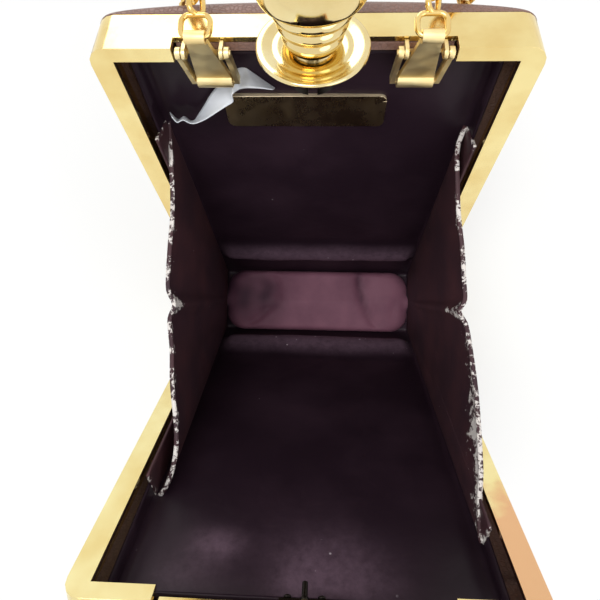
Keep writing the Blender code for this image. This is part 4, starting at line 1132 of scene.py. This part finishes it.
@dataclass
class LiningTrays(Pieces):
    """The two lining trays, laid into the frames, with rounded corners and a soft, creased skin.

    Each painted highlight is a patch of the front skin painted paler: its x and height, its reach both ways and
    its strength.
    """

    half_width: float = 47.9 * MM
    front: float = 0.5 * MM
    top_front: float = 6.2 * MM
    floor: float = 1.7 * MM
    top: float = 152.9 * MM
    depth_floor: float = 15.9 * MM
    depth_top: float = 12.6 * MM
    skin: float = 0.7 * MM
    corner: float = 2.6 * MM
    roll_low: float = 12.5 * MM
    roll_high: float = 34.0 * MM
    roll_lift: float = 3.2 * MM
    back_roll_higher: float = 8.0 * MM
    base_lift: float = 0.35 * MM
    slack: float = 0.55 * MM
    folds: float = 0.22 * MM
    sway: float = 1.2 * MM
    fade: float = 7.0 * MM
    fade_top: float = 9.0 * MM
    fade_front: Point = (8.0 * MM, 4.0 * MM)
    sheen_above: float = 0.9 * MM
    painted_highlights: tuple[tuple[float, float, float, float, float], ...] = (
        (5.0 * MM, 145.0 * MM, 15.0 * MM, 13.0 * MM, 1.15),
        (-25.0 * MM, 134.0 * MM, 7.0 * MM, 4.5 * MM, 0.85),
        (-32.0 * MM, 145.0 * MM, 8.0 * MM, 8.0 * MM, 0.45),
    )

    def depth(self, height: float) -> float:
        """How deep the lining's back lies at a height."""
        share = (height - self.floor) / (self.top - self.floor)
        return self.depth_floor + (self.depth_top - self.depth_floor) * share

    def tray(self, half: Half) -> Piece:
        """One tray: its back, sides, floor and top, with the open side towards the other half.

        Args:
            half: the half that carries it.

        Returns:
            The new object, in small faces.
        """
        cage = bmesh.new()
        wide, low, high = self.half_width, self.floor, self.top
        c = {}
        for x in (-wide, wide):
            for height, front in ((low, self.front), (high, self.top_front)):
                for near, depth in ((True, front), (False, self.depth(height))):
                    c[x, height, near] = cage.verts.new(SIZES.place(half, x, depth, height))
        for face in (
            (c[-wide, low, False], c[wide, low, False], c[wide, high, False], c[-wide, high, False]),
            (c[-wide, low, True], c[wide, low, True], c[wide, low, False], c[-wide, low, False]),
            (c[-wide, high, True], c[wide, high, True], c[wide, high, False], c[-wide, high, False]),
            (c[-wide, low, True], c[-wide, low, False], c[-wide, high, False], c[-wide, high, True]),
            (c[wide, low, True], c[wide, low, False], c[wide, high, False], c[wide, high, True]),
        ):
            cage.faces.new(face)
        bmesh.ops.recalc_face_normals(cage, faces=cage.faces)
        folds = [edge for edge in cage.edges if not edge.is_boundary]
        bmesh.ops.bevel(cage, geom=folds, offset=self.corner, segments=4, profile=0.5, affect="EDGES")
        for across, cuts in ((True, 56), (False, 90)):
            lines = []
            for edge in cage.edges:
                way = (edge.verts[1].co - edge.verts[0].co).normalized()
                if edge.calc_length() > 30 * MM and (abs(way.x) > 0.7) == across:
                    lines.append(edge)
            bmesh.ops.subdivide_edges(cage, edges=lines, cuts=cuts, use_grid_fill=True)
        wide_set = [edge for edge in cage.edges if edge.calc_length() > 5 * MM]
        bmesh.ops.subdivide_edges(cage, edges=wide_set, cuts=4, use_grid_fill=True)
        mesh = bpy.data.meshes.new(half.word + "_lining_skin")
        cage.to_mesh(mesh)
        cage.free()
        mesh.materials.append(self.finishes.lining)
        return add_object(mesh.name, mesh)

    def relief(self, x: float, height: float, half: Half) -> float:
        """How far the skin stands in from the tray's back: slack creases, and a roll near the foot.

        Args:
            x: across the tray.
            height: up the half, from the hinge axis.
            half: the half that carries it.

        Returns:
            How far it stands in.
        """
        slack = self.slack * waver(x * 28, height * 17, half.value * 5.0)
        folds = self.folds * waver(x * 75 + 3.0, height * 40, half.value * 9.0)
        sway = self.sway * waver(x * 22, half.value * 2.0, 7.0)
        if half is Half.BACK:
            sway += self.back_roll_higher
        # The roll overhangs the crevice beside the floor pad: steep below, fading out above.
        share = (height - self.roll_low - sway) / (self.roll_high - self.roll_low)
        roll = smooth(share / 0.22) * (1 - smooth((share - 0.25) / 0.75)) if 0 < share < 1 else 0.0
        return self.base_lift + slack + folds + self.roll_lift * roll

    def crease(self, item: Piece, half: Half) -> None:
        """Gives the skin its loose shape, fading to nothing at the frame, and says where it is painted paler as
        a painted sheen and painted highlights.

        Args:
            item: the tray.
            half: the half that carries it.
        """
        inward = Vector((0.0, -half.value * math.cos(SIZES.half_open), math.sin(SIZES.half_open)))
        front, fade_front = self.fade_front
        bloom_and_painted_sheen = []
        for vert in item.data.vertices:
            x = vert.co.x
            depth, height = SIZES.within(half, vert.co)
            inside = smooth((self.half_width - abs(x)) / self.fade) * smooth((height - self.floor) / self.fade)
            inside *= smooth((self.top - height) / self.fade_top) * smooth((depth - front) / fade_front)
            lift = self.relief(x, height, half)
            vert.co += inward * inside * lift
            # Painted sheen: the skin is painted paler where the roll stands out, and on the front, painted
            # highlights in a few patches.
            pale = 1.5 * max(0.0, lift - self.sheen_above) / self.roll_lift * inside
            if half is Half.FRONT:
                ragged = 1 + 0.5 * waver(x * 90, height * 60, 1.0)
                for middle, high, wide, tall, most in self.painted_highlights:
                    pale += most * inside * ragged * bell((x - middle) / wide) * bell((height - high) / tall)
            bloom_and_painted_sheen.append(min(1.0, pale))
        paint(item, "bloom_and_painted_sheen", bloom_and_painted_sheen)

    def make(self) -> Iterator[Piece]:
        """Builds both trays, puts them in place of their solids and yields each."""
        for half in Half:
            item = self.tray(half)
            self.crease(item, half)
            item.data.shade_smooth()
            add_modifier(item, "SOLIDIFY", thickness=self.skin, offset=-1.0, use_even_offset=True)
            face_outward(applied(item))
            yield stand_in(item, half.word + "_lining", half.body)


@dataclass
class Gussets(Pieces):
    """The two side gussets: a web between the halves, folded and pinched midway, and a flap glued in each half.

    Each mouth edge is a list of (x, y, z) in millimetres from the hinge axis, from the back fold to the
    front one, as the photograph shows it. Each flap's top runs from its (depth, height) at the opening
    to its fold.
    """

    right_mouth: tuple[Place, ...] = (
        (46.6, 57.8, 105.2), (45.9, 55.5, 103.4), (44.8, 50.9, 102.6), (45.2, 41.7, 101.1), (46.1, 30.8, 99.2),
        (47.6, 20.0, 97.8), (48.6, 10.0, 96.0), (49.2, 3.8, 94.7), (47.6, 0.0, 94.0), (49.3, -4.2, 95.6),
        (49.8, -12.0, 98.8), (49.9, -22.0, 103.2), (49.5, -31.1, 107.1), (48.6, -43.7, 112.3),
        (47.2, -51.0, 115.6), (46.6, -58.6, 118.0), (46.7, -60.4, 119.2),
    )
    left_mouth: tuple[Place, ...] = (
        (-46.9, 60.0, 106.6), (-46.7, 56.8, 105.2), (-46.6, 53.1, 104.6), (-46.2, 45.4, 103.1),
        (-46.1, 37.6, 101.5), (-46.3, 29.7, 99.9), (-47.2, 21.6, 98.3), (-48.1, 11.9, 96.4), (-48.3, 5.2, 95.0),
        (-46.4, 0.3, 94.1), (-47.6, -4.7, 94.8), (-46.0, -14.3, 96.4), (-44.9, -25.2, 98.3),
        (-42.4, -38.7, 100.6), (-42.2, -47.4, 102.0), (-43.9, -54.5, 103.2), (-46.3, -58.2, 103.6),
    )
    flaps: dict[tuple[str, Half], tuple[Point, Point]] = field(
        default_factory=lambda: {
            ("right", Half.BACK): ((1.2, 122.8), (12.2, 119.3)),
            ("right", Half.FRONT): ((1.0, 135.3), (9.2, 133.2)),
            ("left", Half.BACK): ((1.2, 125.1), (13.2, 121.6)),
            ("left", Half.FRONT): ((1.0, 121.9), (12.8, 118.1)),
        }
    )
    thickness: float = 0.8 * MM
    hem: float = 1.4 * MM
    web_x: float = 46.6 * MM
    flap_x: float = 47.35 * MM
    foot_height: float = 5.5 * MM
    foot_depth: float = 13.0 * MM
    fold_in: float = 1.6 * MM
    hollow: float = 1.2 * MM
    ripple: float = 0.7 * MM
    hem_reach: float = 2.2 * MM
    wear_reach: float = 5.5 * MM
    wear: float = 0.80
    worst_at: Point = (0.80, 0.13)
    fold_half: float = 9.0 * MM
    pinch_half: float = 1.7 * MM
    bend_from: float = 34.0 * MM
    along: int = 120
    down: int = 60
    flap_columns: int = 12

    def mouth_line(self, side: str) -> list[Vector]:
        """The mouth edge of one side, as even points on a smooth line.

        Args:
            side: left or right.

        Returns:
            The line's points.
        """
        mouth = self.left_mouth if side == "left" else self.right_mouth
        points = [SIZES.over_hinge(*(value * MM for value in point)) for point in mouth]
        fine = curve_through(points, 10)
        inner = places_along(fine, self.along, 1.0)[: self.along - 1]
        return [fine[0], *(place for place, _ in inner), fine[-1]]

    def worn(self, side: str, share: float, drop: float, y: float) -> float:
        """How far the film is worn at a place on a web.

        Args:
            side: left or right. Use has worn the right web most, on its inner face beside the front half.
            share: how far along the mouth the place is, from the back.
            drop: how far it lies below the mouth.
            y: how far it lies behind the hinge axis.

        Returns:
            The wear, from 0 to a little over 1.
        """
        heavy, reach = self.wear, self.wear_reach
        if side == "right":
            worst = bell((share - self.worst_at[0]) / self.worst_at[1])
            heavy += 0.20 * smooth(share * 1.6 - 0.5) + 0.42 * worst
            heavy *= 1 - 0.32 * smooth(share * 4 - 1.8) * (1 - smooth(drop / self.hem))
            reach += 7.5 * MM * smooth(share * 2.2 - 0.9) + 3.0 * MM * worst
        pinch = bell(y / self.pinch_half) * 11.0 * MM
        return max(0.0, 1 - max(0.0, drop - pinch) / reach) * heavy

    def web(self, side: str) -> Piece:
        """The free web of one side, from its mouth edge down to its foot beside the floor pad.

        Args:
            side: left or right.

        Returns:
            The new object.
        """
        sign = -1.0 if side == "left" else 1.0
        back, front = (
            SIZES.place(half, sign * self.web_x, self.foot_depth, self.foot_height) for half in Half
        )
        mouth = self.mouth_line(side)
        verts, wear, hem = [], [], []
        for row in spread(0.0, 1.0, self.down):
            down = row**1.5
            middle = math.sin(math.pi * down)
            for i, top in enumerate(mouth):
                share = i / self.along
                point = top.lerp(back.lerp(front, share), down)
                y, drop = point.y - SIZES.hinge_y, (top - point).length
                free = math.sin(math.pi * share) * middle
                fold = self.fold_in * bell(y / self.fold_half) * math.sin(math.pi * min(1.0, down * 1.1))
                ripple = self.ripple * waver(sign * 3, point.y * 55, point.z * 30) * free
                x = abs(point.x) - fold - self.hollow * free - abs(ripple)
                verts.append(Vector((sign * x, point.y, point.z)))
                wear.append(self.worn(side, share, drop, y))
                hem.append(0.45 + 0.55 * (1 - smooth(drop / self.hem_reach)))
        faces = grid_faces(self.down + 1, self.along + 1)
        item = mesh_object("gusset_web_" + side, verts, faces, self.finishes.gusset)
        paint(item, "wear", wear)
        group = item.vertex_groups.new(name="hem")
        for i, thick in enumerate(hem):
            group.add([i], thick, "REPLACE")
        add_modifier(item, "SOLIDIFY", thickness=self.hem, offset=0.0, vertex_group="hem")
        return applied(item)

    def flap(self, side: str, half: Half) -> Piece:
        """The part of a gusset that is glued to a half's side, from the opening back to the fold.

        Args:
            side: left or right.
            half: the half that carries it.

        Returns:
            The new object.
        """
        sign = -1.0 if side == "left" else 1.0
        (depth_a, high_a), (depth_b, high_b) = self.flaps[side, half]
        verts, wear = [], []
        for down in spread(0.0, 1.0, self.down):
            for share in spread(0.0, 1.0, self.flap_columns):
                depth = (depth_a + (depth_b - depth_a) * share) * MM
                depth += (self.foot_depth - depth_b * MM) * share * down
                top = (high_a + (high_b - high_a) * share) * MM
                wobble = 0.35 * MM * waver(share * 5, down * 0.1, sign + half.value)
                height = top + (self.foot_height - top) * down + wobble * (1 - down)
                verts.append(SIZES.place(half, sign * self.flap_x, depth, height))
                wear.append(max(0.0, 1 - (top - height) / (3.2 * MM)) * (0.72 + 0.3 * share))
        faces = grid_faces(self.down + 1, self.flap_columns + 1)
        item = mesh_object(f"gusset_flap_{side}_{half.word}", verts, faces, self.finishes.gusset)
        paint(item, "wear", wear)
        add_modifier(item, "SOLIDIFY", thickness=self.thickness, offset=0.0)
        return applied(item)

    def declare(self, item: Piece, flat: Point, held: str) -> None:
        """Takes what a sheet was cut from, and does nothing with it."""

    def make(self) -> Iterator[Piece]:
        """Builds the webs, and flaps that ride on the halves, and yields each."""
        for side in ("left", "right"):
            web = self.web(side)
            self.declare(web, (0.145, 0.115), "folded")
            stand_in(web, "gusset_" + side)
            start, end = (tuple(SIZES.over_hinge(0.0, half.value * self.bend_from, 0.0)) for half in Half)
            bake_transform(web)
            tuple(start)
            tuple(end)
            yield web
            for half in Half:
                flap = self.flap(side, half)
                self.declare(flap, (0.014, 0.132), "stretched")
                yield stand_in(flap, None, half.body)


@dataclass
class FloorPad(Pieces):
    """The satin pad over the hinge: rounded ends, a low crown, soft dents across it and a tucked edge.

    Each dent is a line across the pad: its x at the middle, its slope, bow, half width and depth.
    """

    half_width: float = 46.3 * MM
    half_depth: float = 15.2 * MM
    corner: float = 9.0 * MM
    low: float = 7.0 * MM
    top: float = 12.7 * MM
    over_barrel: float = 11.35 * MM
    middle_drop: float = 0.8 * MM
    edge_roll: float = 2.6 * MM
    softness: float = 0.3 * MM
    barrel: Point = (2.4 * MM, 3.4 * MM)
    cover: float = 0.35 * MM
    cover_drop: float = 6.0 * MM
    sag: float = 0.10
    bend_from: float = 5.0 * MM
    rings: int = 26
    steps: int = 144
    dents: tuple[tuple[float, float, float, float, float], ...] = (
        (-22.4 * MM, 0.45, -0.042, 3.0 * MM, 1.30 * MM),
        (-31.0 * MM, 0.40, -0.020, 6.5 * MM, 0.80 * MM),
        (23.6 * MM, -0.34, 0.012, 1.7 * MM, 1.25 * MM),
        (28.5 * MM, -0.30, 0.010, 3.2 * MM, 0.45 * MM),
        (40.0 * MM, 0.35, 0.030, 1.8 * MM, 0.55 * MM),
    )

    def outline(self, angle: float) -> Point:
        """Where the pad's rounded outline lies.

        Args:
            angle: how far round the outline, from the middle of its right end, where a whole turn is 2 pi.

        Returns:
            The place's x and its distance behind the hinge.
        """
        quarter = math.pi / 2 * self.corner
        side, end = 2 * (self.half_width - self.corner), 2 * (self.half_depth - self.corner)
        lengths = (end / 2, quarter, side, quarter, end, quarter, side, quarter, end / 2)
        walk = angle / (2 * math.pi) * sum(lengths)
        x, v, heading = self.half_width, 0.0, math.pi / 2
        for i, length in enumerate(lengths):
            step = min(walk, length)
            if i % 2:
                turn = step / self.corner
                x += self.corner * (math.sin(heading + turn) - math.sin(heading))
                v -= self.corner * (math.cos(heading + turn) - math.cos(heading))
                heading += turn
            else:
                x, v = x + step * math.cos(heading), v + step * math.sin(heading)
            walk -= step
        return x, v

    def dent(self, x: float, v: float) -> float:
        """How deep the soft dents are.

        Args:
            x: across the pad.
            v: behind the hinge.

        Returns:
            The depth there.
        """
        calm = smooth((self.half_depth - abs(v)) / (4 * MM))
        total = 0.0
        for middle, slope, bow, wide, deep in self.dents:
            line = middle + slope * v + bow * (v / MM) ** 2 * MM
            total += deep * bell((x - line) / wide) * calm
        return total

    def nap_and_painted_shade(self, x: float, v: float) -> float:
        """How much painted shade the satin gets: most of the left end, the groove on the right and towards the
        far ends.

        Args:
            x: across the pad.
            v: behind the hinge.

        Returns:
            The share of the painted shade colour, from 0 to 1.
        """
        total = 0.95 * bell((x + 27 * MM) / (9 * MM)) * bell((v - 2 * MM) / (12 * MM))
        total += 0.75 * smooth((-x - 30 * MM) / (12 * MM)) * smooth((v + 13 * MM) / (12 * MM))
        groove = 23.4 * MM - 0.34 * v + 0.012 * (v / MM) ** 2 * MM
        total += 0.7 * bell((x - groove) / (1.8 * MM)) * smooth((v + 12 * MM) / (12 * MM))
        total += 0.35 * smooth((abs(x) + abs(v) * 0.5 - 44 * MM) / (5 * MM))
        return min(1.0, total * (1 + 0.55 * waver(x * 150, v * 150, 4.0)))

    def levels(self, x: float, v: float, near: float) -> Point:
        """The heights of the pad's upper and lower skin.

        Args:
            x: across the pad.
            v: behind the hinge.
            near: how far out towards the outline, from 0 to 1.

        Returns:
            The two heights.
        """
        inside = min(1.0, (1 - near) * self.half_depth / self.edge_roll)
        swell = quarter_round(inside)
        soft = self.softness * waver(x * 45, v * 45, 2.0) - self.dent(x, v)
        beside = smooth((abs(v) - self.barrel[0]) / self.barrel[1])
        under = self.over_barrel + (self.low - self.over_barrel) * beside
        middle = (self.top + self.low) / 2 - self.middle_drop
        upper = middle + (self.top - middle) * swell + soft * inside
        upper = max(upper, self.over_barrel + self.cover - self.cover_drop * beside)
        return upper - self.sag * abs(v), middle + (under - middle) * swell - self.sag * abs(v)

    def make(self) -> Iterator[Piece]:
        """Builds the pad in place of its solid and yields it."""
        outline = [self.outline(2 * math.pi * i / self.steps) for i in range(self.steps)]
        verts, nap_and_painted_shade = [], []
        for layer in (0, 1):
            for ring in spread(0.0, 1.0, self.rings):
                near = 1 - (1 - ring) ** 1.6
                for x, v in ((edge_x * near, edge_v * near) for edge_x, edge_v in outline):
                    verts.append(Vector((x, SIZES.hinge_y + v, self.levels(x, v, near)[layer])))
                    nap_and_painted_shade.append(self.nap_and_painted_shade(x, v))
        count = self.rings + 1
        offset, last = count * self.steps, self.rings * self.steps
        faces = grid_faces(count, self.steps, close_columns=True)
        faces += grid_faces(count, self.steps, close_columns=True, start=offset)
        for i in range(self.steps):
            j = (i + 1) % self.steps
            faces.append((last + i, last + j, offset + last + j, offset + last + i))
        item = mesh_object("floor_pad_satin", verts, faces, self.finishes.satin)
        paint(item, "nap_and_painted_shade", nap_and_painted_shade)
        face_outward(item)
        stand_in(item, "floor_pad")
        start, end = (tuple(SIZES.over_hinge(0.0, half.value * self.bend_from, 0.0)) for half in Half)
        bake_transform(item)
        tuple(start)
        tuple(end)
        yield item


@dataclass
class StopperKnob(Pieces):
    """The turned stopper: a dished disc, a neck of three rings that grow upward, and a domed cap.

    Its profiles are (radius, height) points, with heights from the hinge axis.
    """

    disc_low: float = 159.5 * MM
    disc_thick: float = 1.2 * MM
    disc_radius: float = 13.4 * MM
    disc_dish: tuple[Point, ...] = (
        (1.4, -0.5), (8.2, -0.5), (8.9, -0.42), (9.4, -0.56), (10.0, -0.36), (11.6, -0.12),
    )
    bore: float = 1.4 * MM
    bead_radii: tuple[float, ...] = (7.2 * MM, 8.2 * MM, 9.4 * MM)
    bead_pitch: float = 3.7 * MM
    bead_foot: float = 0.7 * MM
    groove: float = 1.3 * MM
    neck_peg: tuple[Point, ...] = ((2.5, 0.0), (2.5, 3.0), (0.0, 3.0))
    cap_radius: float = 12.3 * MM
    cap_height: float = 15.6 * MM
    cap_peg: tuple[Point, ...] = ((2.8, 0.0), (2.8, 3.3), (0.0, 3.3))
    cap_shares: tuple[Point, ...] = (
        (0.0, 1.015), (0.30, 1.0), (0.56, 0.93), (0.76, 0.80), (0.90, 0.62), (0.975, 0.43), (1.0, 0.25),
        (0.985, 0.13), (0.93, 0.05), (0.84, 0.01), (0.70, 0.0), (0.0, 0.0),
    )
    sides: int = 96

    def disc_profile(self) -> list[Point]:
        """The disc's outline: a shallow dish with a ring turned in it, and a rounded rim.

        Returns:
            The outline's points.
        """
        low, high, rim = self.disc_low, self.disc_low + self.disc_thick, self.disc_thick / 2
        points = [(self.bore, low), *((r * MM, high + h * MM) for r, h in self.disc_dish)]
        for angle in spread(math.pi / 2, -math.pi / 2, 8):
            radius = self.disc_radius - rim + rim * math.cos(angle)
            points.append((radius, (low + high) / 2 + rim * math.sin(angle)))
        return [*points, (self.disc_radius - 2.0 * MM, low), (self.bore, low)]

    def neck_profile(self) -> list[Point]:
        """The neck's outline: its foot, three rounded rings with grooves between them, and a peg.

        Returns:
            The outline's points.
        """
        low = self.disc_low + self.disc_thick + SIZES.gap
        points = [(0.0, low), (self.bead_radii[0] - self.groove, low)]
        top = low + self.bead_foot + self.bead_pitch * len(self.bead_radii)
        for i, radius in enumerate(self.bead_radii):
            middle = low + self.bead_foot + self.bead_pitch * (i + 0.5)
            for angle in (math.radians(turn) for turn in range(-84, 85, 12)):
                inner = radius - self.groove * (1 - math.cos(angle)) ** 0.8
                points.append((inner, middle + self.bead_pitch / 2 * math.sin(angle)))
        return [*points, *((r * MM, top + h * MM) for r, h in self.neck_peg)]

    def cap_profile(self) -> list[Point]:
        """The cap's outline, smoothed between its chosen points, and the hole for the peg.

        Returns:
            The outline's points.
        """
        low = self.disc_low + self.disc_thick + 2 * SIZES.gap + self.bead_foot
        low += self.bead_pitch * len(self.bead_radii)
        points = [Vector((r * self.cap_radius, low + h * self.cap_height)) for r, h in self.cap_shares[:-1]]
        line = curve_through(points, 6, (Vector((-points[1].x, points[1].y)), points[-1]))
        outside = [(max(0.0, p.x), max(low, p.y)) for p in line]
        return [*outside, *((r * MM, low + h * MM) for r, h in self.cap_peg)]

    def turned(self, name: str, profile: Sequence[Point]) -> Piece:
        """A turned piece on the knob's axis.

        Args:
            name: the piece's name.
            profile: (radius, height) points down its outer side.

        Returns:
            The new object.
        """
        lean = Matrix.Rotation(-SIZES.half_open, 4, "X")
        axis = Matrix.Translation(SIZES.place(Half.BACK, 0.0, 0.0, 0.0)) @ lean
        verts = []
        for radius, height in profile:
            for angle in (2 * math.pi * i / self.sides for i in range(self.sides)):
                verts.append(axis @ Vector((radius * math.cos(angle), radius * math.sin(angle), height)))
        faces = grid_faces(len(profile), self.sides, close_columns=True)
        item = mesh_object(name, verts, faces, self.finishes.knob)
        face_outward(item)
        return item

    def make(self) -> Iterator[Piece]:
        """Turns the three pieces, puts them in place of their solids and yields each."""
        profiles = {"disc": self.disc_profile(), "neck": self.neck_profile(), "cap": self.cap_profile()}
        for name, profile in profiles.items():
            item = self.turned("stopper_" + name, profile)
            yield stand_in(item, "knob_" + name, "knob")


@dataclass
class EndLinks(Pieces):
    """The round-wire link at the tip of each hanger, bent to a rounded oblong, which hangs the way run says."""

    x: float = 26.6 * MM
    wire: float = 0.65 * MM
    half: float = 3.35 * MM
    length: float = 5.5 * MM
    corner: float = 1.9 * MM
    run: Place = (0.0, 0.99849, -0.05495)

    def outline(self) -> list[Point]:
        """The wire's centreline.

        Returns:
            Its points, as how far across and how far along the link they lie.
        """
        points = []
        wide, near, far = self.half - self.corner, self.corner, self.length - self.corner
        for x, up, turn in ((wide, near, -1), (wide, far, 0), (-wide, far, 1), (-wide, near, 2)):
            for angle in ((turn + step / 6) * math.pi / 2 for step in range(7)):
                points.append((x + self.corner * math.cos(angle), up + self.corner * math.sin(angle)))
        return points

    def make(self) -> Iterator[Piece]:
        """Builds both links on the places of their solids, and yields each."""
        points = self.outline()
        for side, sign in (("left", -1), ("right", 1)):
            low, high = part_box(side + "_end_link")
            foot = Vector((sign * self.x, low.y + self.wire, high.z - self.wire))
            curve = bpy.data.curves.new("link_line", "CURVE")
            curve.dimensions, curve.bevel_depth, curve.bevel_resolution = "3D", self.wire, 4
            spline = curve.splines.new("POLY")
            spline.points.add(len(points) - 1)
            for target, (across, up) in zip(spline.points, points):
                target.co = (*(foot + Vector((across, 0.0, 0.0)) + Vector(self.run) * up), 1.0)
            spline.use_cyclic_u = True
            curve.materials.append(self.finishes.chain)
            item = add_object("end_link_wire_" + side, curve)
            yield stand_in(item, side + "_end_link", side + "_hanger")


@dataclass
class RibbonLabel(Pieces):
    """The blank white ribbon: it leaves the tray's top, turns over in a peak and hangs to the left in a curl.

    Its two edges are pairs of (x, depth, height) in millimetres on the back half, a ribbon's width apart.
    """

    thick: float = 0.25 * MM
    flat: Point = (10.0 * MM, 46.0 * MM)
    columns: int = 8
    edges: tuple[tuple[Place, Place], ...] = (
        ((-11.5, 12.2, 134.8), (-11.5, 7.2, 139.2)), ((-14.7, 12.2, 138.0), (-14.3, 6.1, 140.7)),
        ((-17.5, 12.2, 141.0), (-17.5, 5.6, 141.4)), ((-19.7, 12.2, 143.0), (-21.3, 9.0, 137.4)),
        ((-23.1, 12.2, 141.2), (-23.0, 6.4, 137.9)), ((-26.5, 12.0, 137.7), (-23.3, 7.2, 134.5)),
        ((-30.3, 10.9, 133.8), (-25.2, 6.7, 133.4)), ((-32.7, 10.3, 130.3), (-28.2, 5.7, 132.0)),
        ((-35.1, 9.6, 127.1), (-31.7, 4.8, 130.1)), ((-36.9, 9.2, 124.7), (-35.0, 4.4, 128.7)),
        ((-38.4, 9.2, 124.5), (-36.8, 4.4, 128.7)), ((-39.9, 9.5, 125.9), (-38.6, 4.5, 129.9)),
        ((-42.1, 9.5, 124.6), (-40.6, 4.6, 128.8)), ((-43.9, 9.7, 127.6), (-41.6, 4.7, 131.0)),
    )

    def make(self) -> Iterator[Piece]:
        """Builds the folded ribbon in place of its solid, and yields it."""
        first, second = (curve_through([Vector(point) * MM for point in edge], 5) for edge in zip(*self.edges))
        verts = []
        for near, far in zip(first, second):
            for share in spread(0.0, 1.0, self.columns):
                verts.append(SIZES.place(Half.BACK, *near.lerp(far, share)))
        faces = grid_faces(len(first), self.columns + 1)
        item = mesh_object("ribbon_folded", verts, faces, self.finishes.ribbon)
        add_modifier(item, "SOLIDIFY", thickness=self.thick, offset=0.0)
        applied(item)
        yield stand_in(item, "ribbon_label", "back_half")


BUILDERS = (
    ShoulderChain, KeptSolids, LeatherPanels, LiningTrays, Gussets, FloorPad, StopperKnob, EndLinks,
    RibbonLabel,
)


def main() -> None:
    """Builds the whole scene in order and logs each piece."""
    logging.basicConfig(level=logging.INFO, format="%(name)s: %(message)s")
    cad_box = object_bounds()
    bpy.context.scene.view_settings.view_transform = "Standard"
    PhotoCamera().make()
    Studio().make()
    finishes = Finishes()
    for builder in BUILDERS:
        for piece in builder(finishes).make():
            LOG.info("%s: %s", builder.__name__, piece.name)
    bpy.context.view_layer.update()
    boxes = {"cad": cad_box, "visual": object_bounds()}
    {name: [list(corner) for corner in box] for name, box in boxes.items()}


if __name__ == "__main__":
    main()
